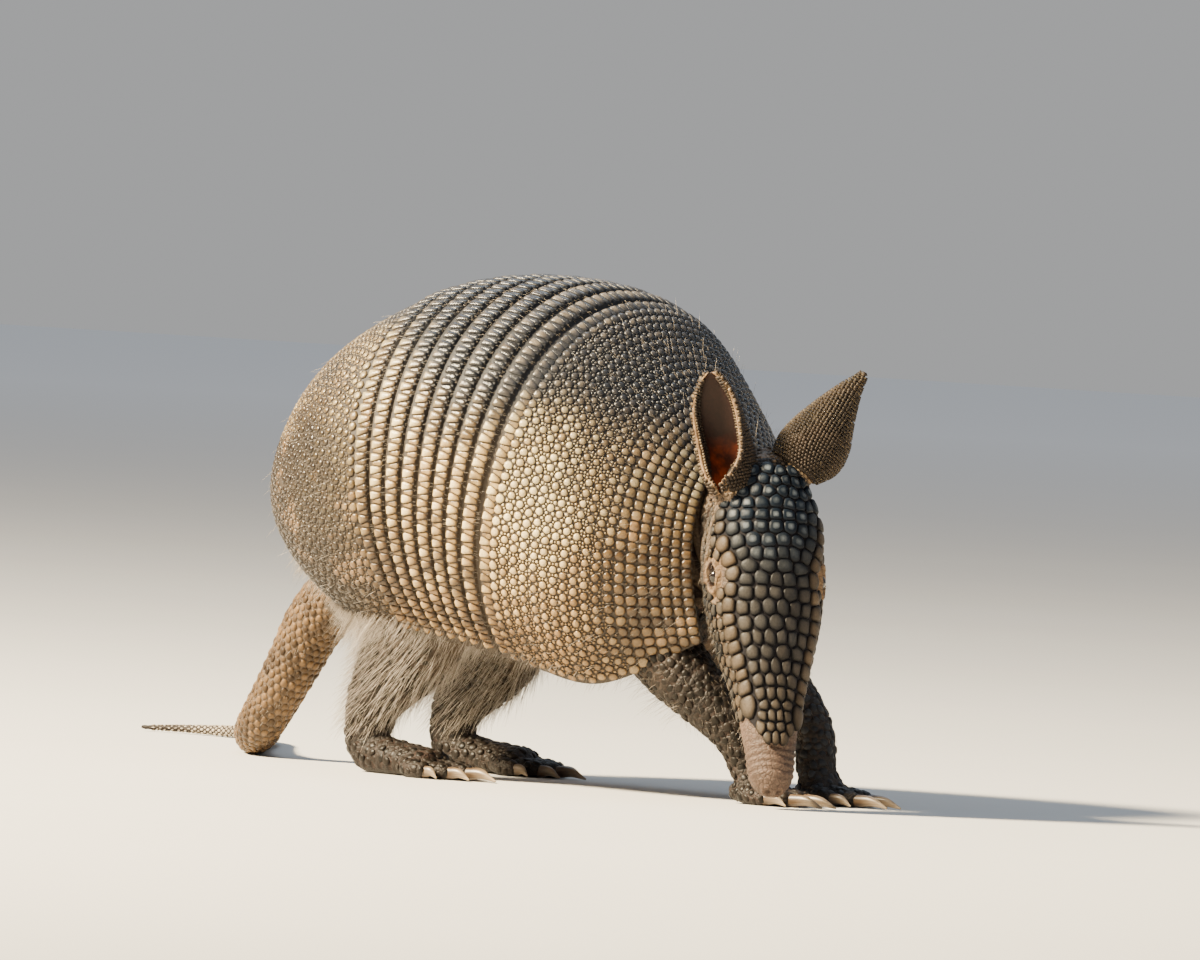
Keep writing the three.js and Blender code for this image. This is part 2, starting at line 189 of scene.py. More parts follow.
# ---- Rump shield ----
# Bone under thin horn: one rigid shield over the hips. Round scutes stand in rows, each in a ring of
# small ones, and all grow together into the plate, which is fixed to the hips by skin.
MILLIMETRE = 0.001
BOX_CENTRE = np.array([-83.2, 26.96, 0.0])  # the row frame's origin in the animal's own millimetres
ARCHES = [  # top x, top z, edge x, edge z, half-width, half of the edges' distance, tail to neck
    [-104, 74, -80, 55, 36, 33],
    [-111, 104, -68, 50, 53, 39],
    [-93, 137, -56, 47, 62, 40],
    [-56, 158, -42, 46, 65.5, 40],
    [-19, 163.5, -23, 44, 66.5, 41],
    [15, 157, -2, 41, 65.5, 41],
    [39, 135.5, 32, 34, 54, 36],
    [60, 111, 66, 50, 31, 27],
]
WIDEST = 0.42  # height of an arch's widest line, as a share of its height
SQUARENESS = 0.93


def smooth_table(rows):
    """Reads a table of [place, value, value...] rows along a smooth curve."""
    places = np.array([row[0] for row in rows], float)
    values = np.array([row[1:] for row in rows], float)
    last = len(places) - 2

    def read(u):
        u = np.clip(np.asarray(u, float), places[0], places[-1])
        i = np.clip(np.searchsorted(places, u, side="right") - 1, 0, last)
        t0, t1 = places[i], places[i + 1]
        before = np.where(i == 0, i + 1, i - 1)
        after = np.where(i == last, i, np.minimum(i + 2, last + 1))
        half = (t1 - t0) / 2
        wp = half / (t0 - places[before])
        wn = half / (places[after] - t1)
        p = (u - t0) / (t1 - t0)
        weights = [
            -wp * p**3 + 2 * wp * p**2 - wp * p,
            (1 + wp) * p**3 + (-1.5 - 2 * wp) * p**2 + (-0.5 + wp) * p + 1,
            (-1 - wn) * p**3 + (1.5 + wn) * p**2 + 0.5 * p,
            wn * p**3 - wn * p**2,
        ]
        return sum(w[..., None] * values[k] for w, k in zip(weights, (before, i, i + 1, after)))

    return read


arch_at = smooth_table([[i, *arch] for i, arch in enumerate(ARCHES)])


def shell_face(t, side):
    """Points on the shell's outer face: t counts the arches, side runs from -1 (right) to 1 (left)."""
    t, side = np.broadcast_arrays(np.asarray(t, float), np.asarray(side, float))
    top_x, top_z, edge_x, edge_z, width, edge_y = np.moveaxis(arch_at(t), -1, 0)
    turn = np.arccos(edge_y / width)
    swing = np.abs(side) * (math.pi / 2 + turn)
    under = np.maximum(swing - math.pi / 2, 0)
    over = np.minimum(swing, math.pi / 2)
    out = np.where(under > 0, width * np.cos(under), width * np.sin(over) ** SQUARENESS)
    high = WIDEST + (1 - WIDEST) * np.maximum(0, np.cos(over)) ** SQUARENESS
    rise = np.where(under > 0, WIDEST * (1 - np.sin(under) / np.sin(turn)), high)
    x = edge_x + (top_x - edge_x) * rise
    z = edge_z + (top_z - edge_z) * rise
    return np.stack([x, np.sign(side) * out, z], -1)


def smooth_share(x, low, high):
    """Rises smoothly from 0 to 1 between two values."""
    x = np.clip((x - low) / (high - low), 0, 1)
    return x * x * (3 - 2 * x)


def unit(v):
    return v / np.maximum(np.linalg.norm(v, axis=-1, keepdims=True), 1e-9)


SHELL = {"face": shell_face, "low": (0, -1), "high": (7, 1), "step": (0.01, 0.01)}


def steps(ground, a, b):
    """How a point on a surface moves with each of its two measures, and which way is outwards."""
    a, b = np.broadcast_arrays(np.asarray(a, float), np.asarray(b, float))
    (low_a, low_b), (high_a, high_b), (h, k) = ground["low"], ground["high"], ground["step"]
    a0, a1 = np.clip(a - h, low_a, high_a), np.clip(a + h, low_a, high_a)
    b0, b1 = np.clip(b - k, low_b, high_b), np.clip(b + k, low_b, high_b)
    along = (ground["face"](a1, b) - ground["face"](a0, b)) / (a1 - a0)[..., None]
    across = (ground["face"](a, b1) - ground["face"](a, b0)) / (b1 - b0)[..., None]
    return along, across, unit(np.cross(along, across))


def raised(ground, a, b, height):
    """Points that stand off a surface by a height, or lie under it where the height is negative."""
    return ground["face"](a, b) + steps(ground, a, b)[2] * np.asarray(height)[..., None]


def lengths_along(line):
    """The length along a line of points up to each of them."""
    return np.concatenate([[0], np.cumsum(np.linalg.norm(np.diff(line, axis=0), axis=1))])


def to_frame(points):
    """From the animal's own millimetres to metres in the row frame."""
    return (points - BOX_CENTRE) * MILLIMETRE


def only(piece):
    bpy.ops.object.select_all(action="DESELECT")
    piece.select_set(True)
    bpy.context.view_layer.objects.active = piece


def smooth(piece):
    only(piece)
    bpy.ops.object.shade_smooth()


def points_of(piece):
    co = np.empty(len(piece.data.vertices) * 3, np.float32)
    piece.data.vertices.foreach_get("co", co)
    return co.reshape(-1, 3).astype(float)


def move_points(piece, points):
    piece.data.vertices.foreach_set("co", np.asarray(points, np.float32).ravel())
    piece.data.update()


def own_points(piece):
    """A piece's points in the animal's own millimetres."""
    return points_of(piece) / MILLIMETRE + BOX_CENTRE


def keep_values(mesh, **values):
    """Keeps numbers at each point of a mesh, under names that its material reads."""
    for key, numbers in values.items():
        layer = mesh.attributes.new(key, "FLOAT", "POINT")
        layer.data.foreach_set("value", np.asarray(numbers, np.float32))


def joined_mesh(name, points, faces, **values):
    """One mesh of many copies, with the numbers it keeps for its material."""
    mesh = bpy.data.meshes.new(name)
    mesh.vertices.add(len(points))
    mesh.vertices.foreach_set("co", np.asarray(points, np.float32).ravel())
    corners = np.concatenate([np.ravel(f) for f in faces]).astype(np.int32)
    lengths = np.concatenate([np.full(len(f), f.shape[1]) for f in faces]).astype(np.int32)
    mesh.loops.add(len(corners))
    mesh.loops.foreach_set("vertex_index", corners)
    mesh.polygons.add(len(lengths))
    starts = np.concatenate([[0], np.cumsum(lengths)[:-1]]).astype(np.int32)
    mesh.polygons.foreach_set("loop_start", starts)
    mesh.update(calc_edges=True)
    mesh.shade_smooth()
    keep_values(mesh, **values)
    piece = bpy.data.objects.new(name, mesh)
    bpy.context.scene.collection.objects.link(piece)
    return piece


WALL_TOP, ROUND_TOP = 1.35, 0.65  # a scute's straight side, and the rise of its round top above it


def scute_blank(corners, rings):
    """A scute as a small closed block on a disc: radius, angle, height of each point, and its faces.

    Its rings round it over to the top. Height 0 is the plate's face, and 1 is the scute's top."""
    bpy.ops.object.select_all(action="DESELECT")
    bpy.ops.mesh.primitive_circle_add(vertices=corners, radius=1, fill_type="NGON")
    blank = bpy.context.object
    bpy.ops.object.mode_set(mode="EDIT")
    bpy.ops.mesh.select_all(action="SELECT")
    bpy.ops.mesh.extrude_region_move(TRANSFORM_OT_translate={"value": (0, 0, WALL_TOP)})
    width = [math.cos(0.5 * math.pi * ring / (rings + 1)) for ring in range(rings + 1)]
    for outer, inner in zip(width, width[1:]):
        bpy.ops.mesh.extrude_region_move(TRANSFORM_OT_translate={"value": (0, 0, 0.1)})
        bpy.ops.transform.resize(value=(inner / outer, inner / outer, 1))
    bpy.ops.mesh.poke(offset=0.0)
    bpy.ops.mesh.select_all(action="SELECT")
    bpy.ops.mesh.normals_make_consistent(inside=False)
    bpy.ops.object.mode_set(mode="OBJECT")
    points = points_of(blank)
    top = points[:, 2] > 1
    points[top, 2] = WALL_TOP + ROUND_TOP * np.sqrt(np.maximum(0, 1 - (points[top, :2] ** 2).sum(1)))
    faces = {}
    for polygon in blank.data.polygons:
        faces.setdefault(len(polygon.vertices), []).append(list(polygon.vertices))
    blank_shape = {
        "radius": np.hypot(points[:, 0], points[:, 1]),
        "angle": np.arctan2(points[:, 1], points[:, 0]),
        "height": points[:, 2] - 1,
        "faces": [np.array(f) for f in faces.values()],
    }
    bpy.data.objects.remove(blank)
    return blank_shape


def tangents(ground, t, side):
    along, across, outward = steps(ground, t, side)
    forward = unit(along)
    return along, across, forward, np.cross(outward, forward)


def slide(along, across, move):
    """The change of t and side that moves a point on the shell by a small step in millimetres."""
    aa, bb, ab = (along**2).sum(-1), (across**2).sum(-1), (along * across).sum(-1)
    ma, mb = (move * along).sum(-1), (move * across).sum(-1)
    whole = aa * bb - ab**2
    return (ma * bb - mb * ab) / whole, (mb * aa - ma * ab) / whole


SIDE_END = 0.985  # scutes stand up to this share of the way to the shell's edge
ROW_SHARE = 0.87  # distance of the rows, as a share of the scutes' own


def scute_rows(first, last, pitch_at):
    """Places for scutes in rows side by side, fewer where the rows close up towards the edges."""
    fine = np.linspace(-SIDE_END, SIDE_END, 601)
    rows, count, t, row = [], np.zeros(601), first, 0
    while t < last:
        line = shell_face(t, fine)
        length = lengths_along(line)
        pitch = pitch_at(t, fine)
        step = ROW_SHARE * float(pitch_at(t, 0.0)) / np.linalg.norm(steps(SHELL, t, 0.0)[0])
        room = np.linalg.norm(shell_face(min(7, t + step), fine) - line, axis=1) / (ROW_SHARE * pitch)
        before, count = count, count + np.minimum(1, room * 1.04)
        phase = np.concatenate([[0], np.cumsum(np.diff(length) / ((pitch[1:] + pitch[:-1]) / 2))])
        whole = 2 * round(phase[-1] / 2)
        phase = (phase / phase[-1] - 0.5) * whole + 0.5 * (row % 2)
        marks = np.arange(math.ceil(phase[0] - 0.01), math.floor(phase[-1] + 0.01) + 1)
        places = np.interp(marks, phase, fine)
        kept = np.floor(np.interp(places, fine, count)) > np.floor(np.interp(places, fine, before))
        kept |= t + step >= last
        rows.append(np.stack([np.full(kept.sum(), t), places[kept]]))
        t, row = t + step, row + 1
    t, side = np.concatenate(rows, axis=1)
    return first + (t - first) * (last - first) / (t.max() - first), side


CROWDED, NUDGE = 0.55, 0.2  # scutes nearer than this share of both pitches move by this share of the lack


def settle(t, side, pitch_at, low, high, rounds):
    """Lets scutes push one another apart until they are packed evenly."""
    for _ in range(rounds):
        place = shell_face(t, side)
        along, across, _ = steps(SHELL, t, side)
        pitch = pitch_at(t, side)
        off = place[:, None] - place[None]
        far = np.linalg.norm(off, axis=-1) + np.eye(len(t)) * 1e3
        want = (pitch[:, None] + pitch[None]) * CROWDED
        push = np.maximum(0, want - far) * NUDGE / far
        d_t, d_side = slide(along, across, (off * push[..., None]).sum(1))
        t, side = np.clip(t + d_t, low, high), np.clip(side + d_side, -0.982, 0.982)
    return t, side


def finder(place):
    tree = kdtree.KDTree(len(place))
    for i, p in enumerate(place):
        tree.insert(p, i)
    tree.balance()
    return tree


NEAR, TOUCHING = 1.6, 1.3  # how many pitches off a scute's neighbours and nearest ones are
BETWEEN_THREE, BETWEEN_TWO = 0.20, 0.145  # radius of the small scutes, as a share of the pitch
SMALL_ROOM = 1.35  # radii that a small scute keeps free of others


def pebbles_between(t, side, pitch, pair_share):
    """Small scutes where three large ones meet, and between two."""
    place = shell_face(t, side)
    tree = finder(place)
    _, _, forward, leftward = tangents(SHELL, t, side)
    triples, pairs = {}, {}
    for i, p in enumerate(place):
        near = [(j, far) for _, j, far in tree.find_range(p, NEAR * pitch[i]) if j != i]
        off = [place[j] - p for j, _ in near]
        turns = [math.atan2(o @ leftward[i], o @ forward[i]) for o in off]
        order = np.argsort(turns)
        for a, b in zip(order, np.roll(order, -1)):
            gap = (turns[b] - turns[a]) % (2 * math.pi)
            if 0.3 < gap < 1.8 and np.linalg.norm(off[a] - off[b]) < NEAR * pitch[i]:
                triples[tuple(sorted((i, near[a][0], near[b][0])))] = BETWEEN_THREE
        for j, far in near:
            if far < TOUCHING * pitch[i]:
                pairs[tuple(sorted((i, j)))] = BETWEEN_TWO
    spots = list(triples.items())
    spots += [item for item in sorted(pairs.items()) if chance.random() < pair_share]
    pt = np.array([t[list(key)].mean() for key, _ in spots])
    ps = np.array([side[list(key)].mean() for key, _ in spots])
    size = np.array([share * pitch[key[0]] * chance.uniform(0.85, 1.12) for key, share in spots])
    small = shell_face(pt, ps)
    tree, kept = finder(small), np.ones(len(small), bool)
    for i, p in enumerate(small):
        if kept[i]:
            for _, j, _ in tree.find_range(p, SMALL_ROOM * size[i]):
                if j > i:
                    kept[j] = False
    return pt[kept], ps[kept], size[kept]


def outlines(ground, shape, t, side, size, chosen, gap, stretch=1.0):
    """The edges of scutes that lie on a surface."""
    _, _, forward, leftward = tangents(ground, t[chosen], side[chosen])
    return cell_edges(shape, ground["face"](t, side), forward, leftward, size, chosen, gap, stretch)


WIDEST_REACH = 1.22  # sizes that a scute's corner may stand out


def cell_edges(shape, place, forward, leftward, size, chosen, gap, stretch):
    """Each chosen scute's edge: the lines half way to its neighbours, by their sizes."""
    tree = finder(place)
    near = np.array([[j for _, j, _ in tree.find_n(p, 15)][1:] for p in place[chosen]])
    off = place[near] - place[chosen][:, None]
    x, y = (off * forward[:, None]).sum(-1), (off * leftward[:, None]).sum(-1)
    x = x / np.reshape(stretch, (-1, 1))
    far = np.hypot(x, y)
    line = (far**2 + size[chosen][:, None] ** 2 - size[near] ** 2) / (2 * far) - gap / 2
    reach = cell_reach(shape["angle"], np.arctan2(y, x), line)
    return np.minimum(reach, WIDEST_REACH * size[chosen][:, None])


def cell_reach(angles, toward, distance, roundness=7.0):
    """How far a cell reaches at each angle, before the lines that part it from its neighbours."""
    facing = np.cos(angles[None, :, None] - toward[:, None, :])
    press = np.maximum(facing, 0) / np.maximum(distance[:, None, :], 0.05)
    return (press**roundness).sum(-1) ** (-1 / roundness)


def raise_scutes(ground, shape, t, side, reach, relief, level, stretch=1.0):
    """Copies of a scute laid on a surface, as points, faces and the height of each point."""
    along, across, forward, leftward = (v[:, None] for v in tangents(ground, t, side))
    flat = shape["radius"] * reach
    ahead = flat * np.cos(shape["angle"]) * np.reshape(stretch, (-1, 1))
    aside = flat * np.sin(shape["angle"])
    d_t, d_side = slide(along, across, ahead[..., None] * forward + aside[..., None] * leftward)
    tt = np.clip(t[:, None] + d_t, ground["low"][0], ground["high"][0])
    ss = np.clip(side[:, None] + d_side, ground["low"][1], ground["high"][1])
    height = shape["height"] * np.broadcast_to(np.reshape(relief, (-1, 1)), flat.shape)
    points = raised(ground, tt.ravel(), ss.ravel(), (height - level(tt)).ravel())
    shift = np.arange(len(t))[:, None, None] * len(shape["height"])
    faces = [(f[None] + shift).reshape(-1, f.shape[1]) for f in shape["faces"]]
    return points, faces, np.tile(np.maximum(shape["height"], 0), len(t))


def even_level(depth):
    """The same depth of the ground under the tops of its scutes everywhere."""
    return lambda place: depth + 0 * place


def gather(*parts):
    """Joins lists of points, faces and values of several sorts of scute into one."""
    points, faces, height, tone, start = [], [], [], [], 0
    for p, f, h, tones in parts:
        points.append(p)
        faces += [face + start for face in f]
        height.append(h)
        tone.append(np.repeat(tones, len(p) // len(tones)))
        start += len(p)
    return np.concatenate(points), faces, np.concatenate(height), np.concatenate(tone)


def flat_sheet(name, columns, rows):
    """A flat sheet of small squares, from -1 to 1 each way, that is then bent into shape."""
    bpy.ops.object.select_all(action="DESELECT")
    bpy.ops.mesh.primitive_grid_add(x_subdivisions=columns, y_subdivisions=rows, size=2)
    sheet = bpy.context.object
    sheet.name = name
    return sheet, points_of(sheet)


def thicken(plate, thick):
    """Gives a bent sheet its wall, inwards."""
    wall = plate.modifiers.new("Wall", "SOLIDIFY")
    wall.thickness = thick * MILLIMETRE
    wall.offset = -1
    bpy.ops.object.modifier_apply(modifier="Wall")
    bpy.ops.object.shade_smooth_by_angle(angle=math.radians(40))


def fix_on(base, cover):
    """Makes a cover one piece with its base."""
    only(base)
    cover.select_set(True)
    bpy.ops.object.join()


def plate_base(name, first, last, level, columns, rows, thick, deep_from=9.0):
    """The plate that carries the scutes. From deep_from on it is shaded as a deep crease."""
    plate, flat = flat_sheet(name, columns, rows)
    t = first + (last - first) * (flat[:, 0] + 1) / 2
    move_points(plate, to_frame(raised(SHELL, t, 0.998 * flat[:, 1], -level(t))))
    keep_values(plate.data, height=np.where(t > deep_from, -0.6, 0.0), tone=np.full(len(t), 0.3))
    thicken(plate, thick)
    return plate


def finish_plate(base, scutes, node):
    """Fixes the scutes to their plate, as one piece that stands for the plate's solid."""
    points, faces, height, tone = scutes
    fix_on(base, joined_mesh(base.name + "_scutes", to_frame(points), faces, height=height, tone=tone))
    base.data.materials.append(shell_horn)
    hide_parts(node)
    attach(base, "root")


def maths(material, operation, a, b=0.0, c=0.0, clamp=False):
    values = {0: a, 1: b}
    if operation == "MULTIPLY_ADD":
        values[2] = c
    node = add_node(material, "Math", values, operation=operation, use_clamp=clamp)
    return node.outputs[0]


def point_value(material, key):
    """The numbers kept at the mesh's points under a name."""
    return add_node(material, "Attribute", attribute_name=key).outputs["Fac"]


def toned(material, colour, factor, dark, light, share=1.0):
    """A colour multiplied by a grey that runs along a factor between two stops."""
    return mixed(material, share, colour, ramp(material, factor, dark, light), "MULTIPLY")


def smooth_step(material, value, low, high):
    """Rises smoothly from 0 to 1 as a value goes from low to high, which may be the smaller."""
    values = {"Value": value, "From Min": low, "From Max": high}
    return add_node(material, "MapRange", values, interpolation_type="SMOOTHSTEP").outputs["Result"]


def apart(material, value, middle):
    """How far a value is from a middle one, to either side."""
    return maths(material, "ABSOLUTE", maths(material, "SUBTRACT", value, middle))


def fine_relief(material, height, strength, depth):
    """A bump of a depth in metres, as the shader's normal."""
    values = {"Strength": strength, "Distance": depth, "Height": height}
    return add_node(material, "Bump", values).outputs["Normal"]


# Tan flanks with a painted highlight on the shoulder's flank, a dark back that is partly its own colour
# and partly painted shade, painted cool shade towards the neck, and darker behind and low down.
shell_horn = new_finish("Plate_horn")
place = object_place(shell_horn)
height, tone = point_value(shell_horn, "height"), point_value(shell_horn, "tone")
split = add_node(shell_horn, "SeparateXYZ", {0: place})
ahead, high = split.outputs["X"], split.outputs["Z"]
patches = noise(shell_horn, place, 34, 4)
grain = noise(shell_horn, place, 2300, 3)
climb = maths(shell_horn, "ADD", high, maths(shell_horn, "MULTIPLY_ADD", patches, 0.055, -0.0275))
# The dark back is partly the shell's own dark colour and partly painted shade; its blue-grey cast is painted
# cool light from the sky.
back_line = maths(shell_horn, "ADD", climb, maths(shell_horn, "MULTIPLY_ADD", ahead, 0.22, -0.018))
dark_back_and_shade = smooth_step(shell_horn, back_line, 0.086, 0.138)
# A painted highlight, a pool of light on the shoulder's flank, lifts the scutes' colour there and lightens
# the crevices.
off_flank = maths(
    shell_horn, "MULTIPLY_ADD", apart(shell_horn, ahead, 0.088), 20.0,
    maths(shell_horn, "MULTIPLY", apart(shell_horn, climb, 0.098), 18.0),
)
highlight_and_wear = ramp(shell_horn, off_flank, (0.30, 1.0), (1.20, 0.0))
# Scutes are painted paler towards their tops: a painted highlight on the crowns.
shade = maths(shell_horn, "MULTIPLY_ADD", height, 0.7, maths(shell_horn, "SUBTRACT", tone, 0.58))
shade = maths(shell_horn, "MULTIPLY_ADD", highlight_and_wear, 0.30, shade)
flank_top = ramp(
    shell_horn, shade,
    (0.0, (0.120, 0.070, 0.026)), (0.5, (0.45, 0.310, 0.125)), (1.0, (0.98, 0.810, 0.420)),
)
back_top = ramp(
    shell_horn, shade,
    (0.0, (0.012, 0.014, 0.018)), (0.55, (0.034, 0.033, 0.036)), (1.0, (0.130, 0.108, 0.080)),
)
low_climb = maths(shell_horn, "MULTIPLY_ADD", apart(shell_horn, ahead, 0.07), -0.42, climb)
low_edge = smooth_step(shell_horn, low_climb, 0.098, 0.040)
behind = smooth_step(shell_horn, ahead, 0.062, 0.018)
low_behind = maths(shell_horn, "MULTIPLY", behind, smooth_step(shell_horn, climb, 0.136, 0.104))
# Painted cool shade towards the neck, where the shell turns away from the light.
neck_shade = smooth_step(shell_horn, ahead, 0.103, 0.140)
crown_colour = mixed(shell_horn, dark_back_and_shade, flank_top, back_top)
for darker, tint in (
    (low_edge, (0.52, 0.42, 0.33)), (low_behind, (0.065, 0.060, 0.060)), (neck_shade, (0.50, 0.54, 0.66)),
):
    crown_colour = mixed(shell_horn, darker, crown_colour, tint, "MULTIPLY")
# The crevices are dark partly in their own colour and partly as painted shade, as the shallow grooves hold
# little shade of their own.
crevice_colour = mixed(shell_horn, highlight_and_wear, (0.034, 0.023, 0.014), (0.050, 0.035, 0.022))
crevice_colour = mixed(shell_horn, dark_back_and_shade, crevice_colour, (0.010, 0.011, 0.015))
stains = ramp(shell_horn, noise(shell_horn, place, 75, 3), (0.56, 0.0), (0.70, 0.6))
stain_mask = maths(shell_horn, "MULTIPLY", stains, maths(shell_horn, "SUBTRACT", 1.0, dark_back_and_shade))
stained = mixed(shell_horn, stain_mask, crown_colour, (0.32, 0.19, 0.085))
off_bands = maths(shell_horn, "MULTIPLY", apart(shell_horn, ahead, 0.074), 20.0)
on_bands = ramp(shell_horn, off_bands, (0.24, 1.0), (0.40, 0.25))
dirt = ramp(shell_horn, noise(shell_horn, place, 110, 2), (0.53, 0.0), (0.62, 0.8))
dirty = maths(shell_horn, "MULTIPLY", dirt, on_bands)
stained = mixed(shell_horn, dirty, stained, (0.30, 0.27, 0.25), "MULTIPLY")
worn_height = maths(shell_horn, "MULTIPLY_ADD", grain, 0.5, maths(shell_horn, "SUBTRACT", height, 0.25))
crown_mask = ramp(shell_horn, worn_height, (0.24, 0.0), (0.66, 1.0))
colour = mixed(shell_horn, crown_mask, crevice_colour, stained)
polish = maths(shell_horn, "MULTIPLY_ADD", patches, 0.4, crown_mask)
pores = maths(shell_horn, "MULTIPLY_ADD", noise(shell_horn, place, 5200, 2), 0.4, grain)
set_surface(shell_horn, {
    "Base Color": toned(shell_horn, colour, grain, (0.25, 0.72), (0.75, 1.22)),
    "Roughness": ramp(shell_horn, polish, (0.2, 0.66), (1.3, 0.27)),
    "Normal": fine_relief(shell_horn, pores, 0.55, 0.00016),
})

chance = random.Random(7)


def some(low, high, count):
    """Random numbers between two values."""
    return np.array([chance.uniform(low, high) for _ in range(count)])


def tones(t, side, low, high):
    """A shade for each scute that drifts slowly along the shell, with its own difference."""
    drift = 0.5 + 0.22 * np.sin(3.1 * t + 5 * side) + 0.15 * np.sin(9 * side - 2 * t)
    own = some(-0.32, 0.32, len(t))
    return np.clip(low + (high - low) * (drift + own), 0, 1)


def shield_scutes(large, small, first, last, pitch_at, relief, level, rounds, pair_share, closing=9.0):
    """Large round scutes in rows, with rings of small ones between. From closing on, the large ones
    close up into rounded blocks."""
    t, side = settle(*scute_rows(first, last, pitch_at), pitch_at, first, last, rounds)
    pitch = pitch_at(t, side)
    small_t, small_side, small_size = pebbles_between(t, side, pitch, pair_share)
    kept = [chance.random() > smooth_share(x, closing - 0.1, closing + 0.3) for x in small_t]
    small_t, small_side, small_size = small_t[kept], small_side[kept], small_size[kept]
    all_t, all_side = np.concatenate([t, small_t]), np.concatenate([side, small_side])
    own = some(0.93, 1.06, len(t))
    fill = 0.40 + 0.12 * smooth_share(t, closing - 0.1, closing + 0.4)
    size = np.concatenate([fill * pitch * own, small_size])
    big, little = np.arange(len(t)), np.arange(len(t), len(all_t))
    reach = outlines(SHELL, large, all_t, all_side, size, big, 0.16)
    domes = raise_scutes(SHELL, large, t, side, reach, relief * own, level)
    dome_tones = tones(t, side, 0.1, 0.9)
    reach = outlines(SHELL, small, all_t, all_side, size, little, 0.14)
    pebbles = raise_scutes(SHELL, small, small_t, small_side, reach, 0.62 * relief, level)
    return [(*domes, dome_tones), (*pebbles, tones(small_t, small_side, 0.25, 1.0))]


rump_scute = scute_blank(8, 1)
rump_pebble = scute_blank(5, 0)
RUMP_RELIEF = 0.6


def rump_pitch(t, side):
    return 3.2 + 0.2 * t + 0 * side


def rump_level(t):
    """Depth of the plate's face under the tops of its scutes, and of its lip under the last band."""
    return RUMP_RELIEF * 1.1 + 0.9 * np.clip((t - 2.90) / 0.05, 0, 1)


rump = plate_base("Rump_shield", 0.0, 3.05, rump_level, 48, 90, 1.5, 2.93)
parts = shield_scutes(rump_scute, rump_pebble, 0.03, 2.875, rump_pitch, RUMP_RELIEF, rump_level, 16, 0.12)
finish_plate(rump, gather(*parts), "shield_pelvis")

# ---- Movable bands ----
# Eight hoops of bone and horn between the shields, joined by folds of skin so that the back can
# bend. Each has one row of long triangular scutes, point forwards, with narrow ones reversed between
# them; its raised rear rim covers the sunk front of the hoop behind.
BAND_COUNT = 8
BAND_LENGTH = 0.25  # from rim to rim, in arch numbers
BAND_WHOLE, BAND_SUNK_FROM, SCUTES_TO = 1.2, 0.58, 0.62  # shares of it, from the rear rim forwards
BAND_PITCH = 4.05
BAND_RELIEF = 0.85
band_scute = scute_blank(14, 2)


def even_sides(t, pitch):
    """Places side by side at an even distance round the arch."""
    fine = np.linspace(-SIDE_END, SIDE_END, 801)
    line = shell_face(t, fine)
    length = lengths_along(line)
    count = int(length[-1] / pitch)
    return np.interp((np.arange(2 * count + 1) / (2 * count)) * length[-1], length, fine)


def long_scutes(first, last, pitch, relief, level):
    """A row of triangles with their points forwards, and narrow ones reversed between."""
    middle = (first + last) / 2
    sides = even_sides(middle, pitch)
    parts = []
    for reverse, chosen in ((False, sides[1::2]), (True, sides[2:-1:2])):
        n = len(chosen)
        seat = np.full(n, first + (last - first) * (0.55 if reverse else 0.36))
        behind = np.linalg.norm(shell_face(seat, chosen) - shell_face(first, chosen), axis=-1)
        ahead = np.linalg.norm(shell_face(seat, chosen) - shell_face(last, chosen), axis=-1)
        wide = some(-0.03, 0.03, n) * pitch + 0.40 * pitch
        tip = 0.21 * pitch
        long = behind + ahead
        taper = np.arctan2(wide - tip, long)
        mid_width = wide - (wide - tip) * behind / long
        if reverse:
            mid_width, taper = pitch / 2 - mid_width, -taper
        toward = np.stack([np.zeros(n), np.full(n, math.pi), math.pi / 2 - taper, taper - math.pi / 2], -1)
        across = (mid_width - 0.09) * np.cos(taper)
        distance = np.stack([ahead, behind, across, across], -1)
        reach = cell_reach(band_scute["angle"], toward, distance, 8.0)
        own = some(0.86, 1.03, n)
        high = relief * own * (0.36 if reverse else 1.0)
        low_tone, high_tone = (0.0, 0.25) if reverse else (0.3, 1.0)
        shades = tones(seat, chosen, low_tone, high_tone)[:, None]
        # Each wedge is painted paler at its broad rear end and darker towards its point: a painted highlight
        # where it bulges.
        lengthwise = band_scute["radius"] * reach * np.cos(band_scute["angle"]) / long[:, None]
        rear_highlight = 0.0 if reverse else 0.9
        shades = np.clip(shades + 0.28 * rear_highlight - rear_highlight * (lengthwise + 0.36), 0, 1).ravel()
        parts.append((*raise_scutes(SHELL, band_scute, seat, chosen, reach, high, level), shades))
    return parts


for number in range(BAND_COUNT):
    rear = 3 + number * BAND_LENGTH

    def band_level(t, rear=rear):
        """Depth of the hoop's face: it rises to the rear rim, and its front is sunk."""
        share = (t - rear) / BAND_LENGTH
        rim = BAND_RELIEF - 1.1 * np.clip(1 - share, 0, 1)
        sunk = np.clip((share - BAND_SUNK_FROM) / 0.10, 0, 1)
        return rim + sunk * sunk * (3 - 2 * sunk) * 1.05

    front, crease = rear + BAND_WHOLE * BAND_LENGTH, rear + BAND_SUNK_FROM * BAND_LENGTH
    base = plate_base(f"Band_{number + 1}", rear, front, band_level, 20, 110, 1.1, crease)
    rows = long_scutes(rear + 0.002, rear + SCUTES_TO * BAND_LENGTH, BAND_PITCH, BAND_RELIEF, band_level)
    finish_plate(base, gather(*rows), f"band_{number + 1}")

# ---- Shoulder shield ----
# The same bone and horn over the shoulders, in one rigid piece. Its scutes are larger, and along the
# front edge they pack as rounded blocks; a row of long ones at the back matches the bands.
shoulder_scute = scute_blank(9, 1)
shoulder_pebble = scute_blank(5, 0)
SHOULDER_RELIEF = 0.72


def shoulder_pitch(t, side):
    return 3.6 + 0.15 * np.clip(np.abs(side) - 0.5, 0, 0.5) - 0.45 * smooth_share(t, 6.3, 6.9)


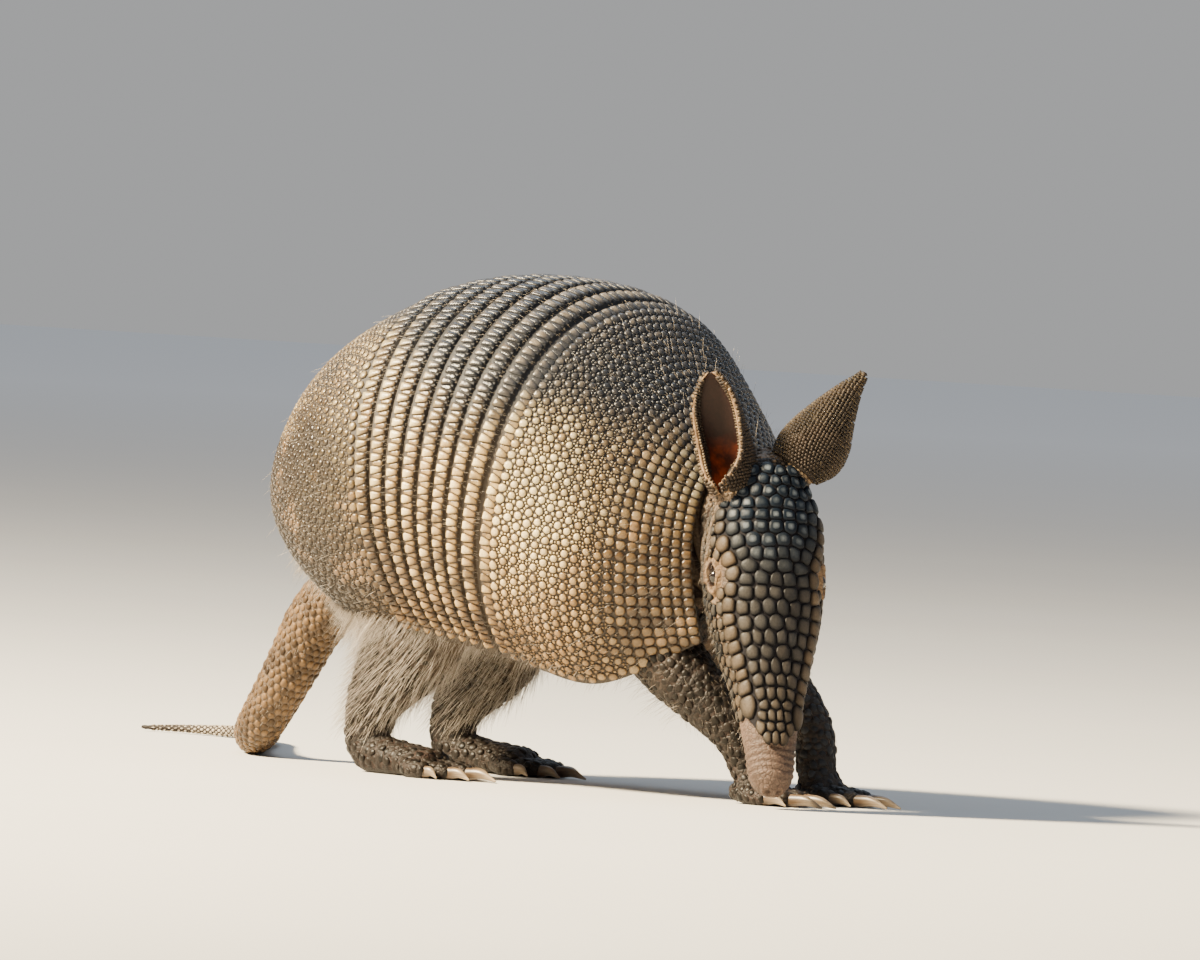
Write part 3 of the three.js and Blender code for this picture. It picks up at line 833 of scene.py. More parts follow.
def shoulder_level(t):
    return SHOULDER_RELIEF * 1.1 - 1.1 * np.clip(1 - 4 * (t - 5) / 2, 0, 1)


shoulder = plate_base("Shoulder_shield", 5.0, 7.0, shoulder_level, 36, 90, 1.8)
parts = long_scutes(5.004, 5.125, BAND_PITCH, 0.6, shoulder_level)
parts += shield_scutes(
    shoulder_scute, shoulder_pebble, 5.17, 6.95, shoulder_pitch, SHOULDER_RELIEF, shoulder_level,
    12, 0.45, 6.2,
)
finish_plate(shoulder, gather(*parts), "shield_shoulder")

# ---- Skin ----
# One tough, wrinkled skin over the head, neck, belly, legs and tail, and on into the ears. It grows
# into the plates along their inner rims, and lies in folds where the neck and legs bend.
COAT_DEPTH = 0.6  # the skin lies this far inside the outline
SOLE_HEIGHT = 0.15  # height of the skin's lowest points


def smooth_route(points):
    """A smooth route through points. It reads the place and direction at a share of its length."""
    p = np.array(points, float)
    p = np.concatenate([[2 * p[0] - p[1]], p, [2 * p[-1] - p[-2]]])
    line = []
    for p0, p1, p2, p3 in zip(p, p[1:], p[2:], p[3:]):
        d0, d1, d2 = (np.linalg.norm(b - a) ** 0.5 for a, b in ((p0, p1), (p1, p2), (p2, p3)))
        m1 = ((p1 - p0) / d0 - (p2 - p0) / (d0 + d1) + (p2 - p1) / d1) * d1
        m2 = ((p2 - p1) / d1 - (p3 - p1) / (d1 + d2) + (p3 - p2) / d2) * d1
        w = np.linspace(0, 1, 60, endpoint=False)[:, None]
        line.append(p1 + m1 * w + (3 * (p2 - p1) - 2 * m1 - m2) * w**2 + (2 * (p1 - p2) + m1 + m2) * w**3)
    line = np.concatenate([*line, p[-2:-1]])
    share = lengths_along(line)
    length = share[-1]
    share /= length
    way = unit(np.gradient(line, share, axis=0))

    def read(u):
        u = np.asarray(u, float)
        place = np.stack([np.interp(u, share, line[:, k]) for k in range(3)], -1)
        return place, unit(np.stack([np.interp(u, share, way[:, k]) for k in range(3)], -1))

    return read, length


def limb(points, rows):
    """A limb: its route, its length and its half-width and half-height along it."""
    route, length = smooth_route(points)
    radii = smooth_table(rows)

    def face(u, turn):
        place, way = route(u)
        side = unit(np.array([0, 1.0, 0]) - way * way[..., 1:2])
        over = np.cross(way, side)
        half = radii(u) - COAT_DEPTH
        turn = np.asarray(turn)
        aside, down = half[..., 0] * np.cos(turn), half[..., 1] * np.sin(turn)
        point = place + (side * aside[..., None] - over * down[..., None])
        point[..., 2] = np.maximum(point[..., 2], SOLE_HEIGHT)
        return point

    return {
        "face": face, "route": route, "length": length, "radii": radii,
        "low": (0, -20), "high": (1, 20), "step": (0.004, 0.05),
    }


FORE_RADII = [[0, 13, 14], [0.3, 12, 12], [0.55, 9, 9.5], [0.8, 7.2, 7], [1, 8.8, 5.5]]
HIND_RADII = [[0, 16, 20], [0.3, 13, 17], [0.5, 9, 11], [0.66, 7, 8], [0.8, 8, 7], [1, 9.5, 5.5]]
FORE_TOES = [[-7.5, -3, 9], [-2.8, 3, 13], [2.8, 3, 13], [7.5, -3, 9]]
HIND_TOES = [[-9, -6, 6], [-4.8, 0, 9], [0, 3, 12], [4.8, 0, 9], [9, -6, 6]]
LEGS = {  # the middle line down to the toes, the radii along it, and the toes: aside, ahead, claw length
    "front_right": (
        [[36, -18, 60], [47, -21, 46], [61, -20, 34], [74, -16, 21], [79, -13, 9], [83, -13, 4.2]],
        FORE_RADII, FORE_TOES,
    ),
    "front_left": (
        [[36, 18, 60], [47, 22, 46], [61, 26, 34], [73, 26, 21], [77, 24, 9], [81, 24, 4.2]],
        FORE_RADII, FORE_TOES,
    ),
    "hind_right": (
        [
            [-46, -24, 66], [-46, -29, 50], [-53, -32, 36], [-62, -33, 20], [-62, -33, 8], [-50, -34, 5],
            [-34, -35, 4.2],
        ],
        HIND_RADII, HIND_TOES,
    ),
    "hind_left": (
        [
            [-56, 24, 66], [-58, 29, 50], [-67, 32, 36], [-79, 33, 20], [-80, 33, 8], [-68, 34, 5],
            [-52, 35, 4.2],
        ],
        HIND_RADII, HIND_TOES,
    ),
}
legs = {name: limb(points, radii) for name, (points, radii, _) in LEGS.items()}
tail = limb(
    [
        [-86, 0, 62], [-103, 0, 56], [-114, 0, 46], [-121, 0, 34], [-128, 0, 22], [-138, 4, 11],
        [-155, 22, 6.4], [-172, 44, 5.4], [-189, 68, 4.5], [-205, 91, 3.7], [-224, 110, 2.9],
        [-247, 119, 2.2], [-264, 118, 1.8], [-278, 112, 1.3],
    ],
    [[0, 13, 13], [0.08, 11.2, 11.2], [0.2, 9, 9], [0.3, 7.8, 7.8], [0.6, 4.8, 4.8], [1, 1.5, 1.5]],
)
NECK_ROOT, NECK_WAY = [46, 0, 78], np.array([32, -17, 10.0])
neck = limb(
    [NECK_ROOT, [60, -3, 83], [70, -10, 87], [78, -17, 88]], [[0, 23, 24], [0.45, 21, 22], [1, 15, 16]]
)


def rolled_form(name, face, rings, sides, marks=None):
    """A sheet rolled into a closed form. face gives a point from a length share and a turn."""
    form, flat = flat_sheet(name, rings, sides)
    share, turn = (flat[:, 0] + 1) / 2, flat[:, 1] * math.pi
    move_points(form, to_frame(face(share, turn)))
    if marks:
        keep_values(form.data, **marks(share, turn))
    bpy.ops.object.mode_set(mode="EDIT")
    bpy.ops.mesh.select_all(action="SELECT")
    bpy.ops.mesh.remove_doubles(threshold=0.00001)
    bpy.ops.mesh.select_all(action="DESELECT")
    bpy.ops.mesh.select_non_manifold()
    bpy.ops.mesh.fill_holes(sides=0)
    bpy.ops.mesh.select_all(action="SELECT")
    bpy.ops.mesh.normals_make_consistent(inside=False)
    bpy.ops.object.mode_set(mode="OBJECT")
    return form


def capped(part, blunt=0.6):
    """A limb's surface with rounded ends, for lengths from 0 to 1."""
    def face(u, turn):
        cap = 0.1
        inner = np.clip((u - cap) / (1 - 2 * cap), 0, 1)
        end = np.clip(np.maximum(cap - u, u - 1 + cap) / cap, 0, 1)
        place, way = part["route"](inner)
        shrink = np.sqrt(np.maximum(1 - end**2, 0))
        reach = part["radii"](inner)[:, 1] * blunt * end * np.sign(u - 0.5)
        edge = part["face"](inner, turn)
        point = place + (edge - place) * shrink[:, None] + way * reach[:, None]
        point[:, 2] = np.maximum(point[:, 2], SOLE_HEIGHT)
        return point

    return face


def toe_route(leg, toe):
    end = legs[leg]["route"](1.0)[0]
    side, ahead, claw = toe
    root = [end[0] - 6, end[1] + side * 0.7, 3.6]
    knuckle = [end[0] + 6 + ahead, end[1] + side * 1.15, 2.8]
    tip = [end[0] + 11 + ahead, end[1] + side * 1.2, 2.3]
    claw_tip = [tip[0] + claw, end[1] + side * 1.3, 0.8]
    return [root, knuckle, tip], claw_tip


TRUNK_FROM, TRUNK_TO, TRUNK_SIDE = 0.22, 6.6, 0.95  # where the trunk lies on the shell's measures
TRUNK_DEPTH = 4.9  # and how far under its face
BELLY_SHARE = 6 / 26


def trunk_face(u, turn):
    """Under the shell's arches, closed by the belly, with bulging ends."""
    cap = 0.12
    along = np.clip((u - cap) / (1 - 2 * cap), 0, 1)
    t = TRUNK_FROM + (TRUNK_TO - TRUNK_FROM) * along
    share = turn / (2 * math.pi) + 0.5
    over = np.clip((share - 1 + BELLY_SHARE) / BELLY_SHARE, 0, 1)[:, None]
    side = TRUNK_SIDE * (2 * np.minimum(share / (1 - BELLY_SHARE), 1) - 1)
    back = raised(SHELL, t, side, np.full(len(t), -TRUNK_DEPTH))
    left = raised(SHELL, t, np.full(len(t), TRUNK_SIDE), np.full(len(t), -TRUNK_DEPTH))
    right = left * [1, -1, 1]
    belly = left + (right - left) * over
    belly[:, 2] += COAT_DEPTH - 9 * np.sin(math.pi * over[:, 0]) ** 0.8 * np.sin(math.pi * along)
    point = np.where(over > 0, belly, back)
    middle = (shell_face(t, 0 * t) + left * [1, 0, 1]) / 2
    end = np.clip(np.maximum(cap - u, u - 1 + cap) / cap, 0, 1)[:, None]
    point = middle + (point - middle) * np.sqrt(1 - end**2)
    point[:, 0] += 6.4 * end[:, 0] * np.sign(u - 0.5)
    return point


HEAD_START, HEAD_LENGTH = -8, 109
HEAD_TURN, HEAD_LEAN = math.radians(40), math.radians(18)
NAPE = np.array([88, -23, 110.0])
face_out = np.array([math.cos(HEAD_TURN), -math.sin(HEAD_TURN), 0])
head_right = np.array([-math.sin(HEAD_TURN), -math.cos(HEAD_TURN), 0])
to_snout = np.array([0, 0, -math.cos(HEAD_LEAN)]) + face_out * math.sin(HEAD_LEAN)
crown = np.cross(head_right, to_snout)
head_at = smooth_table([  # place from the nape, half-width, half-height, and depth of the middle line
    [HEAD_START, 5, 4, 15], [-3, 9.5, 10, 15], [3, 12.4, 13.6, 16], [9, 15, 16, 17], [20, 18.6, 17.5, 18],
    [34, 19.4, 17.8, 18.4], [48, 18.2, 16.5, 18], [61, 15.2, 13.5, 16], [74, 11.8, 10.6, 13.5],
    [92, 8.8, 8, 11], [104, 7.2, 6.6, 9.6], [HEAD_LENGTH, 5, 4.6, 8.8],
])


def head_point(along, lateral, out):
    along, lateral, out = (np.asarray(v, float)[..., None] for v in (along, lateral, out))
    return NAPE + to_snout * along + head_right * lateral + crown * out


def head_face(along, turn):
    """A point on the head. along runs from the nape to the snout, turn from the crown to the right."""
    half, high, low = np.moveaxis(head_at(along), -1, 0)
    return head_point(along, half * np.sin(turn), -low + high * np.cos(turn))


HEAD = {
    "face": lambda along, turn: head_face(along, -turn),
    "low": (HEAD_START, -4), "high": (HEAD_LENGTH, 4), "step": (0.3, 0.02),
}


def head_form(u, turn):
    end = np.clip((u - 0.93) / 0.07, 0, 1)
    start = np.clip((0.05 - u) / 0.05, 0, 1)
    along = HEAD_START + (HEAD_LENGTH - HEAD_START) * u
    half, high, low = np.moveaxis(head_at(along), -1, 0)
    shrink = np.sqrt(np.maximum(1 - end**3, 0.0)) * np.sqrt(1 - 0.96 * start**2)
    half, high = (half - COAT_DEPTH) * shrink, (high - COAT_DEPTH) * shrink
    return head_point(along, half * np.sin(-turn), -low + high * np.cos(turn))


EAR_ROOTS = {  # where each ear grows from, and its way up
    "right": (head_point(8, 11, -10), unit(np.array([-8, -6, 36.5]))),
    "left": (head_point(0, -9, -10), unit(np.array([11.7, 16.7, 31.4]))),
}
forms = [
    rolled_form("Skin", trunk_face, 90, 120),
    rolled_form("Head_form", head_form, 120, 72),
    rolled_form("Neck_form", capped(neck, 0.2), 40, 48),
    rolled_form("Tail_form", capped(tail, 0.3), 260, 36),
]
for name, (_, _, toes) in LEGS.items():
    forms.append(rolled_form("Leg_form", capped(legs[name], 0.5), 90, 40))
    for toe in toes:
        route, _ = toe_route(name, toe)
        digit = limb(route, [[0, 3.6, 3.6], [0.8, 3.4, 3.4], [1, 3.2, 3.1]])
        forms.append(rolled_form("Toe_form", capped(digit, 0.45), 30, 24))
for side, (root, way) in EAR_ROOTS.items():
    inside = head_point(17, 9, -13) if side == "right" else head_point(10, -8, -13)
    stem = limb([inside, root, root + 2.5 * way], [[0, 3.4, 3.4], [0.7, 7.0, 6.0], [1, 5.0, 4.4]])
    forms.append(rolled_form("Ear_root_form", capped(stem, 0.3), 30, 32))
only(forms[0])
for form in forms:
    form.select_set(True)
bpy.ops.object.join()
skin = bpy.context.object
skin.data.remesh_voxel_size = MILLIMETRE
skin.data.remesh_voxel_adaptivity = 0
bpy.ops.object.voxel_remesh()
soften = skin.modifiers.new("Soften", "SMOOTH")
soften.factor = 0.6
soften.iterations = 5
bpy.ops.object.modifier_apply(modifier="Soften")


def normals_of(piece):
    normals = np.empty(len(piece.data.vertices) * 3, np.float32)
    piece.data.vertices.foreach_get("normal", normals)
    return normals.reshape(-1, 3).astype(float)


shield_turn = smooth_table([
    [1, 24], [4, 42], [9, 59], [16, 65], [24, 60], [31, 51], [36, 46], [42, 49], [50, 55], [62, 56], [93, 54],
])


def shield_side(along):
    """The shield's half-width as a turn: it is narrow between the ears and pinched at the eyes."""
    return np.radians(shield_turn(along)[..., 0])


EYE_RADIUS, EYE_ALONG, EYE_TURN, EYE_SUNK = 3.1, 36, math.radians(69), 2.4
LID_LENGTH, LID_HEIGHT = 4.5, 2.2  # halves of the opening between the lids
eyes = {}  # each one's middle, and the way it looks
for side, sign in (("right", -1), ("left", 1)):
    outward = steps(HEAD, EYE_ALONG, sign * EYE_TURN)[2]
    eyes[side] = (head_face(np.array(EYE_ALONG), -sign * EYE_TURN) - outward * EYE_SUNK, outward)


def pick_faces(piece, chosen):
    """Selects the faces whose corners are all among the chosen points, in edit mode."""
    corners = np.empty(len(piece.data.loops), np.int32)
    piece.data.loops.foreach_get("vertex_index", corners)
    starts = np.empty(len(piece.data.polygons), np.int32)
    piece.data.polygons.foreach_get("loop_start", starts)
    only(piece)
    bpy.ops.object.mode_set(mode="EDIT")
    bpy.ops.mesh.select_mode(type="FACE")
    bpy.ops.mesh.select_all(action="DESELECT")
    bpy.ops.object.mode_set(mode="OBJECT")
    piece.data.polygons.foreach_set("select", np.logical_and.reduceat(chosen[corners], starts))
    bpy.ops.object.mode_set(mode="EDIT")


def end_picking():
    bpy.ops.mesh.select_mode(type="VERT")
    bpy.ops.object.mode_set(mode="OBJECT")


SHELL_SHADOW = 7.0  # skin nearer than this to the shell's face is against its inner side
shell_t, shell_side = np.meshgrid(np.linspace(0.25, 6.7, 130), np.linspace(-0.9, 0.9, 130))
shell_tree = finder(shell_face(shell_t.ravel(), shell_side.ravel()))


def under_shell(points):
    """Whether points of the skin lie against the shell's inner side."""
    return np.array([shell_tree.find(point)[2] < SHELL_SHADOW for point in points])


def head_measures(points):
    """How far along the head points are, their turn from its crown, and how far out, as a share."""
    q = points - NAPE
    along, lateral, out = q @ to_snout, q @ head_right, q @ crown
    half, high, low = np.moveaxis(head_at(along), -1, 0)
    return along, np.arctan2(lateral, out + low), np.hypot(lateral / half, (out + low) / high)


def from_route(points, line):
    """The distance from each point to each place on a line."""
    return np.linalg.norm(points[:, None] - line[None], axis=2)


# What the shell hides is kept coarse. The face is divided finer, for lids, mouth and nostrils.
HIDDEN_SHARE = 0.03  # of the faces under the shell that stay
pick_faces(skin, under_shell(own_points(skin)))
bpy.ops.mesh.decimate(ratio=HIDDEN_SHARE)
end_picking()
along, turn, outness = head_measures(own_points(skin))
bare = (outness < 1.15) & (along > 10) & (np.abs(turn) < 2.4)
bare &= (np.abs(turn) > shield_side(along) + 0.05) | (along > 88)
pick_faces(skin, bare)
bpy.ops.mesh.subdivide(number_cuts=1, smoothness=0.4)
end_picking()

# Each point moves out or in along its normal: lips, nose, creases, neck folds and rings of the legs.
points = own_points(skin)
normals = normals_of(skin)
along, turn, outness = head_measures(points)
of_head = (outness < 1.12) & (along > -2)
move = np.zeros(len(points))
MOUTH_TURN = np.radians(126)
mouth = np.abs(np.abs(turn) - MOUTH_TURN) * head_at(along)[:, 1]
slit = of_head * 0.75 * np.exp(-((mouth / 0.55) ** 2)) * smooth_share(along, 70, 78)
move -= slit * (1 - smooth_share(along, 104, 107))
move += of_head * 0.35 * np.exp(-(((mouth - 1.3) / 0.8) ** 2)) * smooth_share(along, 70, 80)
wrinkle = np.sin(along * 2.6 + 0.8 * np.sin(turn * 3)) * smooth_share(along, 88, 96)
move += of_head * 0.22 * wrinkle * (1 - smooth_share(along, 101, 105))
creases = np.sin(((points - NAPE) @ unit(np.array([0.5, 0.8, 0.3]))) * 1.7 + 1.3 * np.sin(along * 0.5))
move += of_head * 0.18 * creases * smooth_share(np.abs(turn), 1.25, 1.5) * (1 - smooth_share(along, 60, 90))
NOSTRIL_ALONG, NOSTRIL_ASIDE, NOSTRIL_OUT = 108.6, 2.1, -6.4
for side in (-1, 1):
    nostril = head_point(NOSTRIL_ALONG, NOSTRIL_ASIDE * side, NOSTRIL_OUT)
    to_nostril = np.linalg.norm(points - nostril, axis=1)
    move -= 1.7 * np.exp(-((to_nostril / 1.15) ** 2))
    move += 0.5 * np.exp(-(((to_nostril - 2.0) / 0.7) ** 2))
NECK_FOLD = 5.2  # from one fold to the next
shift = (points - NECK_ROOT) @ unit(NECK_WAY)
spread = np.linalg.norm(points - neck["route"](np.clip(shift / neck["length"], 0, 1))[0], axis=1)
of_neck = smooth_share(shift, 6, 12) * (1 - smooth_share(shift, 38, 46)) * (spread > 9) * (spread < 27)
folds = np.sin(
    shift * 2 * math.pi / NECK_FOLD + 0.9 * np.sin(points[:, 2] * 0.12) + 0.5 * np.sin(points[:, 1] * 0.3)
)
move += of_neck * 1.25 * folds
for part in legs.values():
    gap = from_route(points, part["route"](np.linspace(0.15, 0.97, 60))[0])
    waver = 1.1 * np.sin(points[:, 1] * 0.45) + np.sin(points[:, 0] * 0.3)
    rings = np.sin(gap.argmin(1) / 60 * part["length"] * 0.82 * 1.9 + waver)
    move += (gap.min(1) < 17) * (points[:, 2] > 1.5) * (points[:, 2] < 62) * 0.28 * rings
points = points + normals * move[:, None]
lids = np.zeros(len(points))
for centre, outward in eyes.values():
    apart_by = points - centre
    level = apart_by @ outward
    x, y = apart_by @ to_snout, apart_by @ np.cross(outward, to_snout)
    ring = np.hypot(x / LID_LENGTH, y / LID_HEIGHT)
    here = (np.linalg.norm(apart_by, axis=1) < 12) & (level > -3)
    sink = here * (1 - smooth_share(ring, 0.78, 1.0))
    points -= outward * (sink * (level - 0.2))[:, None]
    lid = here * (1.4 * np.exp(-(((ring - 1.2) / 0.22) ** 2)) + 0.5 * np.exp(-(((ring - 1.95) / 0.22) ** 2)))
    lid -= here * 0.35 * np.exp(-(((ring - 1.52) / 0.16) ** 2))
    points += outward * lid[:, None]
    lids += here * np.exp(-(((ring - 1.35) / 0.45) ** 2))
points[:, 2] = np.maximum(points[:, 2], SOLE_HEIGHT)
move_points(skin, to_frame(points))

# Shades kept at each point: how deep it lies, which gives painted shade in the creases, and which part of the
# body it is.
part_tone = np.full(len(points), 0.35)
# The legs are dark down to the feet, partly their own dark skin and partly painted shade.
for part in legs.values():
    gap = from_route(points, part["route"](np.linspace(0.1, 1, 40))[0])
    share = 0.1 + 0.9 * gap.argmin(1) / 39
    part_tone = np.where((gap.min(1) < 18) & (points[:, 2] < 60), 0.55 + 0.45 * share, part_tone)
# The cheeks behind the eyes are darker, partly in their own dark grey-brown and partly as painted shade.
dark_cheek_and_shade = smooth_share(np.abs(turn), 1.15, 1.45) * (1 - smooth_share(along, 66, 84))
part_tone = np.where(of_head, 0.30 - 0.18 * smooth_share(along, 76, 92) + 0.4 * dark_cheek_and_shade, part_tone)
near_ears = of_head * (1 - smooth_share(along, 7, 13))
part_tone += near_ears * (1.0 - part_tone)
gap = from_route(points, tail["route"](np.linspace(0, 1, 120))[0])
close = (gap.min(1) < 13.5) & (points[:, 0] < -90)
part_tone = np.where(close, 0.45 + 0.3 * gap.argmin(1) / 119, part_tone)
keep_values(skin.data, tone=part_tone, height=1 - np.clip(0.5 - move * 0.6, 0, 1), lid=np.minimum(lids, 1))

skin_hide = new_finish("Skin_hide")
place = object_place(skin_hide)
part, height, lid = (point_value(skin_hide, key) for key in ("tone", "height", "lid"))
cloud = noise(skin_hide, place, 70, 4)
grain = noise(skin_hide, place, 1300, 4)
cells = add_node(skin_hide, "TexVoronoi", {"Vector": place, "Scale": 620.0}, feature="DISTANCE_TO_EDGE")
cracks = cells.outputs["Distance"]
warm = ramp(skin_hide, cloud, (0.3, (0.062, 0.038, 0.027)), (0.7, (0.125, 0.080, 0.058)))
belly = ramp(skin_hide, cloud, (0.3, (0.10, 0.068, 0.044)), (0.7, (0.18, 0.125, 0.082)))
dark = ramp(skin_hide, cloud, (0.3, (0.008, 0.005, 0.004)), (0.7, (0.022, 0.015, 0.011)))
colour = mixed(skin_hide, ramp(skin_hide, part, (0.26, 0.0), (0.36, 1.0)), warm, belly)
colour = mixed(skin_hide, ramp(skin_hide, part, (0.42, 0.0), (0.75, 1.0)), colour, dark)
lid_pale = ramp(skin_hide, cloud, (0.3, (0.15, 0.090, 0.046)), (0.7, (0.27, 0.17, 0.092)))
colour = mixed(skin_hide, lid, colour, lid_pale)
# Painted shade in the creases, folds, mouth and nostrils, where the skin lies deeper.
crease_shade = mixed(skin_hide, ramp(skin_hide, height, (0.25, 1.0), (0.5, 0.0)), colour, (0.040, 0.022, 0.016))
colour = toned(skin_hide, crease_shade, grain, (0.25, 0.72), (0.75, 1.25))
relief = maths(skin_hide, "MULTIPLY_ADD", grain, 0.6, ramp(skin_hide, cracks, (0.0, 0.0), (0.2, 1.0)))
set_surface(skin_hide, {
    "Base Color": toned(skin_hide, colour, cracks, (0.0, 0.45), (0.14, 1.0), 0.6),
    "Roughness": 0.62,
    "Specular IOR Level": 0.3,
    "Subsurface Weight": 0.06,
    "Subsurface Radius": (0.003, 0.0012, 0.0008),
    "Normal": fine_relief(skin_hide, relief, 0.6, 0.00025),
})
smooth(skin)
skin.data.materials.append(skin_hide)
flesh = ["trunk", "neck", "head", *(f"tail_{i}" for i in range(1, 6))]
for name in LEGS:
    flesh += [f"leg_{name}", f"foot_{name}"]
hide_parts(*flesh)
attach(skin, "root")

# ---- Limb and tail scales ----
# Horny scales in the skin: rounded ones all over the legs and feet, and rings of larger ones round
# the tail. Each is a thickened patch of the skin, with a bare crease about it.
limb_horn = new_finish("Limb_horn")
place = object_place(limb_horn)
height, tone, warmth = (point_value(limb_horn, key) for key in ("height", "tone", "warmth"))
cloud = noise(limb_horn, place, 85, 3)
grain = noise(limb_horn, place, 1700, 4)
# At warmth 0 the colours are cool blue-grey, painted shade lit by the sky; at 0.15 they are near-black brown,
# partly the scales' own colour and partly painted shade.
dull = ramp(
    limb_horn, warmth, (0.0, (0.007, 0.007, 0.009)), (0.15, (0.005, 0.004, 0.003)),
    (0.5, (0.030, 0.018, 0.010)), (1.0, (0.20, 0.165, 0.125)),
)
pale = ramp(
    limb_horn, warmth, (0.0, (0.032, 0.034, 0.039)), (0.15, (0.016, 0.011, 0.008)),
    (0.5, (0.165, 0.098, 0.045)), (1.0, (0.46, 0.40, 0.32)),
)
paleness = maths(limb_horn, "MULTIPLY_ADD", cloud, 0.9, maths(limb_horn, "SUBTRACT", tone, 0.45), clamp=True)
top_colour = mixed(limb_horn, paleness, dull, pale)
crown_mask = ramp(limb_horn, maths(limb_horn, "MULTIPLY_ADD", grain, 0.4, height), (0.3, 0.0), (0.75, 1.0))
colour = mixed(limb_horn, crown_mask, mixed(limb_horn, 0.75, top_colour, (0.012, 0.008, 0.006)), top_colour)
polish = maths(limb_horn, "MULTIPLY_ADD", cloud, 0.5, height)
set_surface(limb_horn, {
    "Base Color": toned(limb_horn, colour, grain, (0.25, 0.75), (0.75, 1.25)),
    "Roughness": ramp(limb_horn, polish, (0.2, 0.75), (1.3, 0.42)),
    "Specular IOR Level": 0.2,
    "Normal": fine_relief(limb_horn, grain, 0.5, 0.0002),
})


def spread_out(place, chosen, spacing):
    """Picks points, in a random order, no nearer to one another than the spacing."""
    tree = finder(place[chosen])
    free = np.ones(len(chosen), bool)
    order = list(range(len(chosen)))
    chance.shuffle(order)
    kept = []
    for i in order:
        if free[i]:
            kept.append(chosen[i])
            for _, j, _ in tree.find_range(place[chosen[i]], spacing):
                free[j] = False
    return np.array(kept)


def loose_scales(shape, place, way, outward, size, relief, gap, stretch, bend):
    """Copies of a scale laid on the skin, each along a given way and bent to a radius."""
    forward = unit(way - outward * (way * outward).sum(-1, keepdims=True))
    leftward = np.cross(outward, forward)
    reach = cell_edges(shape, place, forward, leftward, size, np.arange(len(place)), gap, stretch)
    flat = shape["radius"] * reach
    ahead, aside = flat * np.cos(shape["angle"]) * stretch, flat * np.sin(shape["angle"])
    rise = shape["height"] * relief - 0.15 - (aside**2 + 0.4 * ahead**2) / (2 * bend)
    points = place[:, None] + ahead[..., None] * forward[:, None] + aside[..., None] * leftward[:, None]
    points += rise[..., None] * outward[:, None]
    shift = np.arange(len(place))[:, None, None] * len(shape["height"])
    faces = [(f[None] + shift).reshape(-1, f.shape[1]) for f in shape["faces"]]
    return points.reshape(-1, 3), faces, np.tile(np.maximum(shape["height"], 0), len(place))


LIMB_SPACING = 2.35  # least distance between the middles of two scales
limb_scale = scute_blank(8, 1)
skin_place = own_points(skin)
skin_out = normals_of(skin)
skin_tree = finder(skin_place)


def smooth_out(chosen, count=40):
    """The way outwards at chosen points of the skin, averaged over their neighbours."""
    around = np.array([[j for _, j, _ in skin_tree.find_n(skin_place[i], count)] for i in chosen])
    return unit(skin_out[around].sum(1))


scale_sets, scale_warmth = [], []
for name, part in legs.items():
    line, way = part["route"](np.linspace(0.12, 1, 80))
    climb = skin_place[:, 2]
    near = np.flatnonzero((climb < 60) & (climb > 1.4) & ((climb > 8) | (skin_out[:, 2] > -0.3)))
    gap = from_route(skin_place[near], line)
    past = (skin_place[near] - line[-1]) @ way[-1]
    kept = (gap.min(1) < 15.5) & (past < 17)
    near, down = near[kept], way[gap.argmin(1)[kept]]
    chosen = spread_out(skin_place, near, LIMB_SPACING)
    seat = {index: k for k, index in enumerate(near)}
    down = down[[seat[index] for index in chosen]]
    size = some(1.15, 1.5, len(chosen))
    scales = loose_scales(limb_scale, skin_place[chosen], down, smooth_out(chosen), size, 0.5, 0.3, 1.1, 8.0)
    scale_sets.append((*scales, some(0, 0.8, len(chosen))))
    # The left foreleg's scales take the cool blue-grey, painted sky-lit shade; the other legs' take the
    # near-black brown, partly painted shade.
    scale_warmth.append(np.full(len(scales[0]), 0.0 if name == "front_left" else 0.15))

# Rings of the tail: large scales, and smaller ones of a minor ring in every second place.
reach, minor, spots = 0.06, 0, []
while reach < 0.985:
    round_size = float(tail["radii"](reach)[0]) - COAT_DEPTH
    wide = 2.9 - 1.5 * reach
    count = max(5, int(2 * math.pi * round_size / wide))
    for k in range(count):
        turn = 2 * math.pi * (k + 0.5 * minor) / count - math.pi
        spots.append((reach + chance.uniform(-0.0008, 0.0008), turn, (0.44 if minor else 0.56) * wide, minor))
    reach += (0.80 if minor else 0.95) * wide / tail["length"]
    minor = 1 - minor
share, turn, size, minor = np.array(spots).T
scale_reach = outlines(tail, limb_scale, share, turn, size, np.arange(len(share)), 0.3)
relief = (0.85 - 0.5 * share) * (1 - 0.3 * minor)
rings = raise_scutes(tail, limb_scale, share, turn, scale_reach, relief, even_level(0.2))
scale_sets.append((*rings, some(0.1, 1.0, len(share))))
scale_warmth.append(np.repeat(0.5 + 0.5 * smooth_share(share, 0.45, 0.95), len(limb_scale["height"])))
points, faces, height, tone = gather(*scale_sets)
box_low, box_high = np.array(cad_box[0]) + 0.0001, np.array(cad_box[1]) - 0.0001
points, warm = np.clip(to_frame(points), box_low, box_high), np.concatenate(scale_warmth)
limb_scales = joined_mesh("Limb_and_tail_scales", points, faces, height=height, tone=tone, warmth=warm)
limb_scales.data.materials.append(limb_horn)
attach(limb_scales, "root")

# ---- Head shield ----
# A rigid plate of bone under horn on the forehead and snout, fixed to the skull. Its scutes are
# irregular blocks with deep lines between, rounder on the forehead and longer towards the nose.
head_horn = new_finish("Head_horn")
place = object_place(head_horn)
height, tone, warmth = (point_value(head_horn, key) for key in ("height", "tone", "warmth"))
grain = noise(head_horn, place, 1900, 4)
cloud = noise(head_horn, place, 90, 3)
